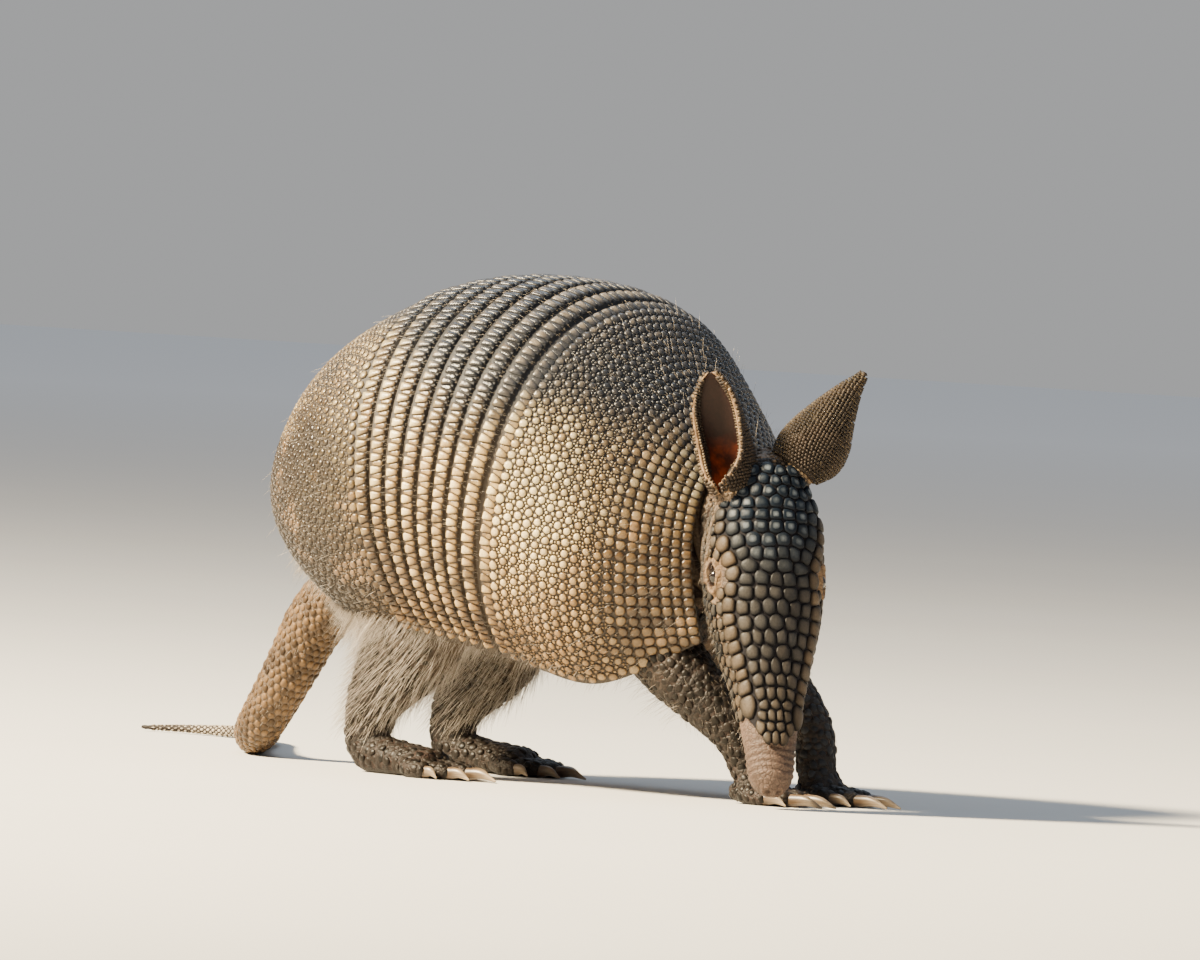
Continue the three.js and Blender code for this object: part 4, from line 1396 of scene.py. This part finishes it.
# At low warmth, on the forehead, the plate is blue-grey: partly its own slate colour and partly painted cool
# shade from the sky.
body = ramp(
    head_horn, warmth, (0.0, (0.005, 0.009, 0.016)), (0.45, (0.006, 0.006, 0.007)),
    (0.7, (0.011, 0.009, 0.007)), (1.0, (0.030, 0.020, 0.012)),
)
crown_colour = ramp(
    head_horn, warmth, (0.0, (0.15, 0.175, 0.20)), (0.25, (0.042, 0.047, 0.052)),
    (0.45, (0.045, 0.041, 0.037)), (0.7, (0.082, 0.066, 0.051)), (1.0, (0.105, 0.074, 0.046)),
)
spot_share = ramp(head_horn, tone, (0.25, 0.1), (0.85, 0.9))
spot = maths(head_horn, "MULTIPLY", ramp(head_horn, height, (0.89, 0.0), (0.99, 1.0)), spot_share)
broad_share = maths(head_horn, "MULTIPLY_ADD", tone, 0.5, 0.5)
broad = maths(head_horn, "MULTIPLY", ramp(head_horn, height, (0.60, 0.0), (0.96, 1.0)), broad_share)
crown_share = mixed(head_horn, ramp(head_horn, warmth, (0.10, 0.0), (0.40, 1.0)), spot, broad)
edge = maths(head_horn, "MULTIPLY_ADD", grain, 0.3, maths(head_horn, "SUBTRACT", height, 0.15))
edge_mask = ramp(head_horn, edge, (0.16, 0.0), (0.42, 1.0))
top_colour = mixed(head_horn, crown_share, body, crown_colour)
colour = mixed(head_horn, edge_mask, (0.009, 0.008, 0.010), top_colour)
colour = toned(head_horn, colour, grain, (0.25, 0.75), (0.75, 1.2))
polish = maths(head_horn, "MULTIPLY_ADD", cloud, 0.5, edge_mask)
set_surface(head_horn, {
    "Base Color": toned(head_horn, colour, cloud, (0.3, 0.7), (0.7, 1.25)),
    "Roughness": ramp(head_horn, polish, (0.2, 0.78), (1.4, 0.46)),
    "Specular IOR Level": 0.14,
    "Normal": fine_relief(head_horn, grain, 0.5, 0.00018),
})

HEAD_SHIELD = {"from": 1, "to": 93, "taper": 10}
head_scute = scute_blank(14, 2)
head_plan = smooth_table([  # width of a scute, distance of the rows as a share of it, and stretch
    [0, 3.6, 0.86, 1.0], [14, 4.6, 0.88, 1.0], [38, 4.9, 0.90, 1.05], [58, 4.5, 1.08, 1.45],
    [76, 3.6, 1.10, 1.6], [92, 2.7, 1.10, 1.6],
])


BEADS_FROM, BEADS_TO = 8.0, 84  # the row of beads along each margin


def shield_end(share):
    return HEAD_SHIELD["to"] - HEAD_SHIELD["taper"] * share**2


def head_rows():
    """Places of the head's scutes, with each one's size: beads along both margins, rows between."""
    scutes = []
    for side in (-1, 1):
        reach = BEADS_FROM
        while reach < BEADS_TO:
            half, high, _ = head_at(np.array(reach))
            edge = shield_side(reach) - 1.9 / ((half + high) / 2)
            warm = chance.uniform(0.75, 1.0) * float(smooth_share(reach, BEADS_FROM, 26))
            scutes.append((reach + chance.uniform(-0.3, 0.3), side * edge, chance.uniform(2.0, 2.5), warm))
            reach += chance.uniform(4.2, 5.6)
    reach, row = HEAD_SHIELD["from"] + 2.2, 0
    while reach < HEAD_SHIELD["to"] - 1.5:
        half, high, _ = head_at(np.array(reach))
        round_size = (half + high) / 2
        wide, row_share, _ = head_plan(reach)
        inner = shield_side(reach) - (4.6 if BEADS_FROM < reach < BEADS_TO else 0.4) / round_size
        count = max(1, int(round(2 * inner * round_size / wide)) + row % 2)
        for k in range(count):
            loose = 0.45 - 0.3 * float(smooth_share(reach, 45, 60))
            b = (2 * (k + 0.5) / count - 1) * inner + chance.uniform(-loose, loose) / round_size
            a = reach + chance.uniform(-1.3, 1.3) * loose
            if a < shield_end(b / shield_side(a)) - 1.6:
                warm = 0.45 * float(smooth_share(a, 14, 48)) + 0.3 * float(smooth_share(a, 56, 88))
                warm += chance.uniform(-0.05, 0.05)
                beside = float(smooth_share(abs(b) / shield_side(a), 0.4, 0.9))
                warm += 0.28 * beside * float(smooth_share(a, 4, 20))
                scutes.append((a, b, 0.52 * wide, warm))
        reach += wide * row_share
        row += 1
    return np.array(scutes).T


head_plate, flat = flat_sheet("Head_shield", 90, 50)
end = shield_end(flat[:, 1])
along = HEAD_SHIELD["from"] + 0.3 + (end - 0.6 - HEAD_SHIELD["from"]) * (flat[:, 0] + 1) / 2
turn = flat[:, 1] * (shield_side(along) - 0.01)
move_points(head_plate, to_frame(raised(HEAD, along, turn, np.full(len(along), 0.75))))
even = np.ones(len(along))
keep_values(head_plate.data, height=0 * even, tone=0.3 * even, warmth=0.2 * even)
thicken(head_plate, 1.5)
along, turn, size, warm = head_rows()
stretch = head_plan(along)[:, 2]
own = some(0.92, 1.08, len(along))
reach = outlines(HEAD, head_scute, along, turn, size * own, np.arange(len(along)), 0.28, stretch)
shades = some(0.15, 1.0, len(along))
high = (0.72 + 0.25 * smooth_share(np.abs(turn) / shield_side(along), 0.7, 0.95)) * own
blocks = raise_scutes(HEAD, head_scute, along, turn, reach, high, even_level(-0.85), stretch)
points, faces, height, tone = gather((*blocks, shades))
warmth = np.repeat(warm, len(head_scute["height"]))
cover = joined_mesh("Head_scutes", to_frame(points), faces, height=height, tone=tone, warmth=warmth)
fix_on(head_plate, cover)
head_plate.data.materials.append(head_horn)
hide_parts("head_shield")
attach(head_plate, "root")

# ---- Cheek scales ----
# Thick grains of horn in the skin of the cheeks, below the head shield: a row of large tan beads
# along its margin, and smaller ones in folds down to the jaw, leaving the lids free.
cheek_scale = scute_blank(9, 1)
scales = []
for side in (-1, 1):
    offset = 1.4
    for row, wide in enumerate((3.6, 3.2, 2.8, 2.5, 2.3, 2.2, 2.1, 2.0, 2.0)):
        offset += wide * 0.45
        reach = 11.0 + 1.3 * (row % 2)
        while reach < BEADS_TO - 1.5 * row:
            half, high, _ = head_at(np.array(reach))
            a = reach + chance.uniform(-0.35, 0.35)
            b = side * (shield_side(reach) + (offset + chance.uniform(-0.3, 0.3)) / ((half + high) / 2))
            from_eye = np.linalg.norm(head_face(np.array(a), -b) - eyes["right" if side < 0 else "left"][0])
            if from_eye > 6.6 and abs(b) < math.radians(124) - 0.25 * smooth_share(a, 60, 90):
                warm = chance.uniform(0.5, 1.0) - 0.06 * row
                scales.append((a, b, 0.47 * wide * chance.uniform(0.85, 1.1), warm, row))
            reach += wide * chance.uniform(1.05, 1.4)
        offset += wide * 0.45
along, turn, size, warm, row = np.array(scales).T
reach = outlines(HEAD, cheek_scale, along, turn, size, np.arange(len(along)), 0.3, 1.2)
blocks = raise_scutes(HEAD, cheek_scale, along, turn, reach, 0.75 - 0.03 * row, even_level(0.35), 1.2)
shades = some(0.1, 0.9, len(along))
points, faces, height, tone = gather((*blocks, shades))
warmth = np.repeat(warm, len(cheek_scale["height"]))
cheeks = joined_mesh("Cheek_scales", to_frame(points), faces, height=height, tone=tone, warmth=warmth)
cheeks.data.materials.append(head_horn)
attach(cheeks, "root")

# ---- Ears ----
# Leathery leaves of skin over gristle, rolled into an open cup. They grow from the skin behind the
# head shield; the back is set with small dark grains and the inside is thin, bare and red-brown.
EAR_LENGTH, EAR_WALL = 38.5, 1.2
EARS = {  # root, reach, way of the opening, and rows of length share, half-widths, cup depth, half roll
    "right": (*EAR_ROOTS["right"], [0.06, -1, 0], smooth_table([
        [0, 6.5, 6.5, 8, 174], [0.1, 7.3, 7.3, 9.9, 168], [0.17, 7.5, 7.9, 10.6, 138],
        [0.3, 7.5, 9.5, 10.8, 110], [0.5, 7.5, 10.5, 8.8, 98], [0.7, 7, 10.3, 6.8, 90],
        [0.85, 5.5, 8, 4.8, 86], [0.95, 3.6, 5, 3, 84], [1, 1.8, 2, 1.8, 82],
    ])),
    "left": (*EAR_ROOTS["left"], [-0.616, 0.788, 0], smooth_table([
        [0, 9, 7.5, 6, 140], [0.17, 10.5, 11, 7.2, 115], [0.39, 9.2, 10, 6.8, 98], [0.5, 8, 8, 5.8, 94],
        [0.6, 6.8, 6.2, 4.8, 90], [0.84, 3.4, 2.6, 2.6, 86], [0.95, 1.4, 1.5, 1.4, 84], [1, 0.9, 0.9, 1, 80],
    ])),
}


def ear_ground(root, axis, opening, shape):
    """An ear's outer face: a share of its length, and a turn round its cup towards the rear rim."""
    behind = np.array(opening, float)
    behind = -unit(behind - axis * (behind @ axis))
    across = np.cross(axis, behind)

    def face(share, angle, inset=0.3):
        near, far, cup, _ = np.moveaxis(shape(share), -1, 0)
        half = np.where(angle < 0, near, far)
        inset = np.minimum(inset, 0.6 * np.minimum(cup, half))
        lean = root + axis * (np.asarray(share) * EAR_LENGTH)[..., None]
        lean = lean + behind * ((cup - inset) * np.cos(angle))[..., None]
        return lean + across * ((half - inset) * np.sin(angle))[..., None]

    return {"face": face, "shape": shape, "low": (0, -3), "high": (1, 3), "step": (0.01, 0.03)}


def ear_wall(share, turn, ground):
    """Where a turn round the ear's wall lies: its angle in the cup and its share of the way inwards."""
    round_wall = np.abs(turn) / math.pi
    roll = np.radians(ground["shape"](share)[..., 3]) - 0.03
    angle = np.where(round_wall < 0.5, 2 * round_wall, 2 - 2 * round_wall) * roll * np.sign(turn)
    inward = np.clip((round_wall - 0.47) / 0.06, 0, 1)
    return angle, inward * inward * (3 - 2 * inward)


def ear_form(ground):
    """The wall of an ear: out over the back, round the rim and in over the hollow side."""
    def face(share, turn):
        angle, inward = ear_wall(share, turn, ground)
        rim = 0.5 * np.clip(1 - np.abs(np.abs(turn) / math.pi - 0.5) / 0.07, 0, 1)
        return ground["face"](share, angle, 0.35 + (EAR_WALL - 0.4) * inward + rim * (inward - 0.5) * 1.2)

    return face


def ear_places(ground):
    """Places for the grains on an ear's back in close rows, with coarser ones along the rim."""
    rows = []
    for number, share in enumerate(np.arange(0.03, 0.985, 0.0265)):
        roll = math.radians(float(ground["shape"](share)[3])) - 0.06
        fine = np.linspace(-roll, roll, 161)
        line = ground["face"](np.full(161, share), fine)
        length = lengths_along(line)
        spots = np.arange(0.5 * (number % 2), length[-1], 1.16)
        angles = np.interp(spots, length, fine)
        size = 0.48 + 0.12 * (np.minimum(spots, length[-1] - spots) < 1.0)
        shares = share + some(-0.004, 0.004, len(spots))
        rows.append(np.stack([shares, angles, size]))
    return np.concatenate(rows, axis=1)


ears = {side: ear_ground(*place) for side, place in EARS.items()}
ear_grain = scute_blank(5, 0)
# Grains have a height under -1, and so are told from the bare leaf.
ear_hide = new_finish("Ear_hide")
place = object_place(ear_hide)
inner, low_share = point_value(ear_hide, "height"), point_value(ear_hide, "tone")
grain = noise(ear_hide, place, 900, 4)
cloud = noise(ear_hide, place, 130, 3)
outside = ramp(ear_hide, cloud, (0.3, (0.012, 0.009, 0.007)), (0.7, (0.036, 0.024, 0.017)))
# The orange near the foot of the hollow is a painted glow of light, patchy by the cloud.
near_foot = ramp(ear_hide, low_share, (0.16, 1.0), (0.48, 0.0))
painted_glow = maths(ear_hide, "MULTIPLY", near_foot, ramp(ear_hide, cloud, (0.42, 0.15), (0.58, 1.0)))
deep = mixed(ear_hide, painted_glow, (0.013, 0.0035, 0.002), (0.32, 0.055, 0.007))
rim = ramp(ear_hide, grain, (0.3, (0.12, 0.072, 0.038)), (0.7, (0.24, 0.150, 0.082)))
colour = mixed(ear_hide, ramp(ear_hide, inner, (0.15, 0.0), (0.35, 1.0)), outside, rim)
colour = mixed(ear_hide, ramp(ear_hide, inner, (0.62, 0.0), (0.85, 1.0)), colour, deep)
grain_pale = ramp(
    ear_hide, low_share, (0.0, (0.040, 0.028, 0.021)), (0.35, (0.24, 0.160, 0.088)), (1.0, (0.93, 0.76, 0.50))
)
grain_crown = ramp(ear_hide, maths(ear_hide, "MULTIPLY", inner, -0.5), (0.5, 0.0), (0.85, 1.0))
grain_colour = mixed(ear_hide, grain_crown, outside, grain_pale)
colour = mixed(ear_hide, maths(ear_hide, "LESS_THAN", inner, -0.5), colour, grain_colour)
set_surface(ear_hide, {
    "Base Color": toned(ear_hide, colour, grain, (0.25, 0.7), (0.75, 1.3)),
    "Roughness": 0.6,
    "Specular IOR Level": 0.25,
    "Normal": fine_relief(ear_hide, grain, 0.5, 0.00025),
})

for side, ground in ears.items():
    def ear_marks(share, turn, ground=ground):
        """height is 0 on the back, half on the rim and 1 inside; tone is the share of the length."""
        _, inward = ear_wall(share, turn, ground)
        rim = np.abs(np.abs(turn) / math.pi - 0.5) < 0.05
        return {"height": np.where(rim, 0.5, inward), "tone": share}

    leaf = rolled_form(f"Ear_{side}", ear_form(ground), 70, 128, ear_marks)
    smooth(leaf)
    share, angle, size = ear_places(ground)
    reach = np.outer(size * some(0.85, 1.15, len(size)), np.ones(len(ear_grain["angle"])))
    grains = raise_scutes(ground, ear_grain, share, angle, reach, 0.55 * size / 0.45, even_level(0.3))
    shades = some(*((0.1, 0.6) if side == "right" else (0.6, 1)), len(share))
    lining = {"face": ear_form(ground), "low": (0, -math.pi), "high": (1, math.pi), "step": (0.01, 0.03)}
    rim_rows = []
    for turn in (0.542, 0.566, 0.590, 0.614):
        rim_rows += [(share, turn) for share in np.arange(0.05 + turn % 0.013, 0.96, 0.024)]
    share, turn = np.array(rim_rows + [(share, -turn) for share, turn in rim_rows]).T
    size = some(0.45, 0.6, len(share))
    reach = np.outer(size, np.ones(len(ear_grain["angle"])))
    turn = turn * math.pi
    inner_grains = raise_scutes(lining, ear_grain, share, turn, reach, 1.1 * size, even_level(0.25))
    rim_shades = some(0.2, 0.6, len(share))
    points, faces, height, tone = gather((*grains, shades), (*inner_grains, rim_shades))
    fix_on(leaf, joined_mesh("Ear_grains", to_frame(points), faces, height=-1 - height, tone=tone))
    leaf.data.materials.append(ear_hide)
    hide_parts(f"ear_{side}")
    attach(leaf, "root")

# Grains round the ears' roots and over the nape, laid on the skin.
GRAIN_SPACING = 1.35
skin_along, skin_turn, skin_outness = head_measures(skin_place)
skin_turn = np.abs(skin_turn)
from_roots = [np.linalg.norm(skin_place - root, axis=1) for root, _ in EAR_ROOTS.values()]
heights = [(skin_place - root) @ way for root, way in EAR_ROOTS.values()]
from_ear = np.min(from_roots, axis=0)
above = np.max([up - (off > 11) * 99 for up, off in zip(heights, from_roots)], axis=0)
at_nape = (skin_outness < 1.2) & (skin_turn > shield_side(skin_along)) & (skin_turn < 2.1)
at_nape &= (skin_along < 9) & (skin_along > -9)
chosen = np.flatnonzero(((from_ear < 10.5) | at_nape) & (above < 0.3))
chosen = spread_out(skin_place, chosen, GRAIN_SPACING)
size = some(0.62, 0.95, len(chosen))
way = np.broadcast_to(to_snout, (len(chosen), 3))
outward, relief = smooth_out(chosen, 12), 0.75 * size[:, None]
grains = loose_scales(ear_grain, skin_place[chosen], way, outward, size, relief, 0.12, 1.0, 12.0)
on_left = (skin_place[chosen] - EAR_ROOTS["left"][0]) @ head_right < 4
shades = some(0.0, 0.2, len(chosen)) + 0.25 * on_left * (from_ear[chosen] < 9)
points, faces, height, tone = gather((*grains, shades))
root_grains = joined_mesh("Ear_root_grains", to_frame(points), faces, height=-1 - height, tone=tone)
root_grains.data.materials.append(ear_hide)
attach(root_grains, "root")

# ---- Eyes ----
# Small dark wet balls with a clear bulging front, one on each side of the head. Each sits in its
# socket under the edge of the head shield, and is held by the lids.
eye_wet = new_finish("Eye_wet")
veins = noise(eye_wet, object_place(eye_wet), 700, 2)
set_surface(eye_wet, {
    "Base Color": ramp(eye_wet, veins, (0.3, (0.004, 0.003, 0.003)), (0.7, (0.014, 0.009, 0.008))),
    "Roughness": 0.12,
    "Coat Weight": 0.25,
    "Coat Roughness": 0.03,
})
for side, (centre, outward) in eyes.items():
    bpy.ops.object.select_all(action="DESELECT")
    bpy.ops.mesh.primitive_uv_sphere_add(segments=40, ring_count=24, radius=EYE_RADIUS * MILLIMETRE)
    ball = bpy.context.object
    ball.name = f"Eye_{side}"
    points = points_of(ball) / MILLIMETRE
    ahead = points @ outward
    bulge = 0.25 * np.clip((ahead - 1.6) / 1.5, 0, 1) ** 2
    move_points(ball, to_frame(centre + points + outward * bulge[:, None]))
    smooth(ball)
    ball.data.materials.append(eye_wet)
    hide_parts(f"eye_{side}")
    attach(ball, "root")

# ---- Claws ----
# Curved horn sheaths over the last toe bones, four on each forefoot and five on each hind foot. They
# are deeper than wide, ridged along the top and worn pale at the points.
claw_horn = new_finish("Claw_horn")
place = object_place(claw_horn)
highlight_and_wear = point_value(claw_horn, "tone")
stretched = add_node(claw_horn, "Mapping", {"Vector": place, "Scale": (180, 1600, 1600)}).outputs["Vector"]
streaks = noise(claw_horn, stretched, 1.0, 3)
base_colour = ramp(claw_horn, streaks, (0.3, (0.045, 0.027, 0.015)), (0.7, (0.11, 0.070, 0.040)))
tip_colour = ramp(claw_horn, streaks, (0.3, (0.20, 0.145, 0.09)), (0.7, (0.33, 0.255, 0.17)))
set_surface(claw_horn, {
    "Base Color": mixed(claw_horn, ramp(claw_horn, highlight_and_wear, (0.35, 0.0), (0.95, 1.0)), base_colour, tip_colour),
    "Roughness": 0.38,
    "Normal": fine_relief(claw_horn, streaks, 0.35, 0.0001),
})
CLAW_RADII = [[0, 2.5, 2.5], [0.2, 2.6, 2.6], [0.6, 2.1, 2.1], [1, 0.95, 0.95]]
for name, (_, _, toes) in LEGS.items():
    for number, toe in enumerate(toes, 1):
        route, claw_tip = toe_route(name, toe)
        tip = np.array(route[2])
        start = tip + [0.8, 0, 0]
        bend = (start + claw_tip) / 2 + [0, 0, 0.9]
        claw = limb([tip - [1.6, 0, 0], start, bend, claw_tip], CLAW_RADII)
        sheath = rolled_form(f"Claw_{name}_{number}", capped(claw, 0.6), 26, 18)
        points = own_points(sheath)
        share = np.clip((points[:, 0] - tip[0] + 1.6) / (claw_tip[0] - tip[0] + 1.6), 0, 1)
        middle = claw["route"](share)[0]
        points[:, 1] = middle[:, 1] + (points[:, 1] - middle[:, 1]) * (0.88 - 0.2 * share)
        points[:, 2] = np.maximum(points[:, 2], 0.12)
        move_points(sheath, to_frame(points))
        keep_values(sheath.data, tone=share)
        smooth(sheath)
        sheath.data.materials.append(claw_horn)
        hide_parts(f"claw_{name}_{number}")
        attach(sheath, "root")

# ---- Hair ----
# Sparse stiff hairs grow between the scutes and lie backwards over them. Longer coarse ones hang from
# under the shell's rims, over the belly and down the hind legs. Each is rooted in the skin.
hair_horn = new_finish("Hair_horn")
along_hair, hair_shade = point_value(hair_horn, "tone"), point_value(hair_horn, "shade")
mottle = noise(hair_horn, object_place(hair_horn), 400, 2)
hair_root = ramp(hair_horn, hair_shade, (0.0, (0.020, 0.013, 0.009)), (1.0, (0.36, 0.29, 0.22)))
hair_tip = ramp(hair_horn, hair_shade, (0.0, (0.10, 0.068, 0.045)), (1.0, (0.66, 0.60, 0.52)))
colour = mixed(hair_horn, along_hair, hair_root, hair_tip)
set_surface(hair_horn, {
    "Base Color": toned(hair_horn, colour, mottle, (0.3, 0.8), (0.7, 1.15)),
    "Roughness": 0.5,
})
MAP_PATCH = 0.003
HAIR_BENDS = np.array([0.0, 0.3, 0.65, 1.0])


def astray(spread, count):
    """Small random ways, by which hairs differ from their neighbours."""
    return np.array([[chance.gauss(0, spread) for _ in range(3)] for _ in range(count)])


def hairs(root, way, outward, length, thick, sag, shade, spot):
    """Tapering three-sided hairs: points, quads, triangles, share along, shade and map places."""
    count = len(root)
    stem = root[:, None] + (way * length[:, None])[:, None] * HAIR_BENDS[:, None]
    stem[..., 2] -= (sag * length)[:, None] * HAIR_BENDS**2
    across = unit(np.cross(way, outward + 0.01))
    beside = np.cross(way, across)
    angle = np.arange(3) * 2 * math.pi / 3
    rim = across[:, None] * np.cos(angle)[:, None] + beside[:, None] * np.sin(angle)[:, None]
    girth = thick * (1 - 0.6 * HAIR_BENDS[:3, None, None])
    points = stem[:, :3, None] + rim[:, None] * girth
    points = np.concatenate([points.reshape(count, 9, 3), stem[:, 3:]], axis=1)
    shift = np.arange(count)[:, None, None] * 10
    quads = []
    for r in (0, 3):
        quads += [[r + c, r + (c + 1) % 3, r + 3 + (c + 1) % 3, r + 3 + c] for c in (0, 1, 2)]
    ends = [[6 + c, 6 + (c + 1) % 3, 9] for c in (0, 1, 2)] + [[0, 2, 1]]
    share = np.append(np.repeat(HAIR_BENDS[:3], 3), 1.0)
    around = np.append(np.tile([-0.5, 0.0, 0.5], 3), 0.0)
    local = np.stack([around, share - 0.5], -1) * MAP_PATCH
    return {
        "points": points.reshape(-1, 3),
        "quads": (np.array(quads)[None] + shift).reshape(-1, 4),
        "ends": (np.array(ends)[None] + shift).reshape(-1, 3),
        "tone": np.tile(share, count),
        "shade": np.repeat(shade, 10),
        "map": (spot[:, None] + local[None]).reshape(-1, 2),
    }


def hair_piece(name, sets):
    """Joins sets of hairs into one piece with the coat's map, kept inside the part's box."""
    starts = np.cumsum([0] + [len(one["points"]) for one in sets[:-1]])
    faces = [one[key] + start for key in ("quads", "ends") for one, start in zip(sets, starts)]
    whole = {key: np.concatenate([one[key] for one in sets]) for key in ("points", "tone", "shade", "map")}
    points = np.clip(to_frame(whole["points"]), box_low, box_high)
    coat = joined_mesh(name, points, faces, tone=whole["tone"], shade=whole["shade"])
    corners = np.empty(len(coat.data.loops), np.int32)
    coat.data.loops.foreach_get("vertex_index", corners)
    layer = coat.data.uv_layers.new(name="OFBake")
    layer.data.foreach_set("uv", whole["map"][corners].astype(np.float32).ravel())
    coat.data.materials.append(hair_horn)
    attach(coat, "root")


def shell_map(t, side):
    """The coat's map over the shell, unrolled: arches by sides."""
    return np.stack([0.02 + 0.54 * t / 7, 0.02 + 0.48 * (side + 1)], -1)


def shell_hairs(t, side, depth, length, lift, shade, thick=0.045):
    """Hairs on the shell that lie towards the tail."""
    along, across, outward = steps(SHELL, t, side)
    way = -unit(along) + unit(across) * some(-0.35, 0.35, len(t))[:, None] + outward * lift[:, None]
    root = shell_face(t, side) + outward * -depth
    return hairs(root, unit(way), outward, length, thick, 0.1, shade, shell_map(t, side))


sets = []
for first, last, count in ((0.08, 2.9, 2400), (5.15, 6.93, 2600)):
    t, side = some(first, last, count), some(-0.97, 0.97, count)
    long = np.where(some(0, 1, count) < 0.07, some(4.0, 9.0, count), some(1.6, 3.2, count))
    lift = np.where(long > 3.5, some(0.4, 0.9, count), some(0.08, 0.3, count))
    shade = np.where(long > 3.5, some(0.6, 1.0, count), some(0.15, 0.7, count))
    sets.append(shell_hairs(t, side, 0.5, long, lift, shade))
count = 330
for number in range(BAND_COUNT):
    t = 3 + (number + some(0.63, 0.84, count)) * BAND_LENGTH
    side = some(-0.975, 0.975, count)
    long, lift, shade = some(1.3, 2.4, count), some(0.12, 0.4, count), some(0.5, 1.0, count)
    sets.append(shell_hairs(t, side, 0.9, long, lift, shade, 0.04))
hair_piece("Back_hair", sets)


def skin_hairs(chosen, way, length, sag, shade, thick, strip):
    """Hairs rooted at points of the skin. The map unrolls each part in its own strip, by its length."""
    outward = smooth_out(chosen, 12)
    root = skin_place[chosen] - 0.2 * outward
    loose = astray(0.16, len(chosen))
    turn = np.arctan2(skin_out[chosen, 1], skin_out[chosen, 0]) / (2 * math.pi) + 0.5
    spread = root @ unit(way.mean(0))
    spread = (spread - spread.min()) / (spread.max() - spread.min() + 1e-6)
    spot = np.stack([strip + 0.035 * turn, 0.02 + 0.96 * spread], -1)
    return hairs(root, unit(way + loose), outward, length, thick, sag, shade, spot)


def draw(mask, count):
    """Draws points of the skin, by chance, from those where a mask holds."""
    return np.array(sorted(chance.sample(list(np.flatnonzero(mask)), count)))


sets = []
shown = ~under_shell(skin_place)
for strip, (name, part) in enumerate(legs.items()):
    hind = name.startswith("hind")
    line, way = part["route"](np.linspace(0, 1, 80))
    gap = from_route(skin_place, line)
    share = gap.argmin(1) / 79
    on_leg = (gap.min(1) < 22) & (skin_place[:, 2] > 4) & (share < (0.62 if hind else 0.9)) & shown
    chosen = draw(on_leg, 2300 if hind else 420)
    down = way[gap[chosen].argmin(1)]
    backwards = np.array([-0.55 if hind else -0.1, 0, -0.3])
    flow = unit(down * 0.8 + smooth_out(chosen, 12) * (0.38 if hind else 0.2) + backwards)
    length = some(0.45, 1.0, len(chosen)) * (15 - 9 * share[chosen] if hind else 4.5)
    shade = some(0.35, 1.0, len(chosen)) if hind else some(0.1, 0.6, len(chosen))
    thick = 0.06 if hind else 0.045
    sets.append(skin_hairs(chosen, flow, length, 0.12, shade, thick, 0.60 + 0.045 * strip))
under = (skin_out[:, 2] < -0.35) & (skin_place[:, 2] > 26)
under &= (np.abs(skin_place[:, 0]) < 62) & (np.abs(skin_place[:, 1]) < 42)
chosen = draw(under, 1700)
flow = unit(skin_out[chosen] * 0.45 + np.array([-0.85, 0, -0.1]))
length, shade = some(5, 11, len(chosen)), some(0.1, 0.7, len(chosen))
sets.append(skin_hairs(chosen, flow, length, 0.15, shade, 0.055, 0.80))
line, way = tail["route"](np.linspace(0, 0.75, 90))
gap = from_route(skin_place, line)
chosen = draw((gap.min(1) < 13) & (skin_place[:, 0] < -92) & (skin_place[:, 2] > 1.5), 520)
flow = unit(way[gap[chosen].argmin(1)] + 0.3 * skin_out[chosen])
length, shade = some(1.5, 4.0, len(chosen)), some(0.4, 1.0, len(chosen))
sets.append(skin_hairs(chosen, flow, length, 0.05, shade, 0.045, 0.845))
on_cheek = (skin_turn > shield_side(skin_along) + 0.1) & (skin_turn < 2.3) & (skin_outness < 1.15)
chosen = draw(on_cheek & (skin_along > 12) & (skin_along < 90), 260)
flow = unit(0.8 * to_snout + 0.5 * skin_out[chosen])
length, shade = some(1.5, 4.0, len(chosen)), some(0.3, 0.9, len(chosen))
sets.append(skin_hairs(chosen, flow, length, 0.1, shade, 0.04, 0.89))
hair_piece("Body_hair", sets)

# From under the rims: a fringe along both sides, longest in front of the hind legs, and one behind.
sets = []
count = 1500
for sign in (-1, 1):
    t = 0.1 + 6.7 * some(0, 1, count)
    side = sign * some(0.93, 0.995, count)
    at_hips = np.exp(-(((t - 2.2) / 1.1) ** 2))
    outward = steps(SHELL, t, side)[2]
    root = shell_face(t, side) - outward * some(2.6, 4.5, count)[:, None]
    root[:, 2] -= some(0.0, 1.5, count)
    way = unit(np.array([-0.42, 0.1 * sign, -0.85]) + astray(0.16, count))
    length = some(0.5, 1.0, count) * (6.5 + 15 * at_hips)
    map_side = 0.94 + 0.025 * (sign > 0) + 0.02 * (np.abs(side) - 0.93) / 0.065
    spot = np.stack([map_side, 0.02 + 0.96 * t / 7], -1)
    shade = some(0.35, 1.0, count) * (0.55 + 0.45 * at_hips)
    sets.append(hairs(root, way, outward, length, 0.06, 0.1, shade, spot))
count = 1000
t, side = some(0.02, 0.12, count), some(-0.95, 0.95, count)
outward = steps(SHELL, t, side)[2]
root = shell_face(t, side) - outward * some(2.4, 5.5, count)[:, None]
way = unit(np.array([-0.50, 0, -0.75]) + astray(0.18, count))
length, shade = some(5, 11, count), some(0.3, 0.9, count)
sets.append(hairs(root, way, outward, length, 0.06, 0.1, shade, shell_map(t, side)))
hair_piece("Fringe_hair", sets)
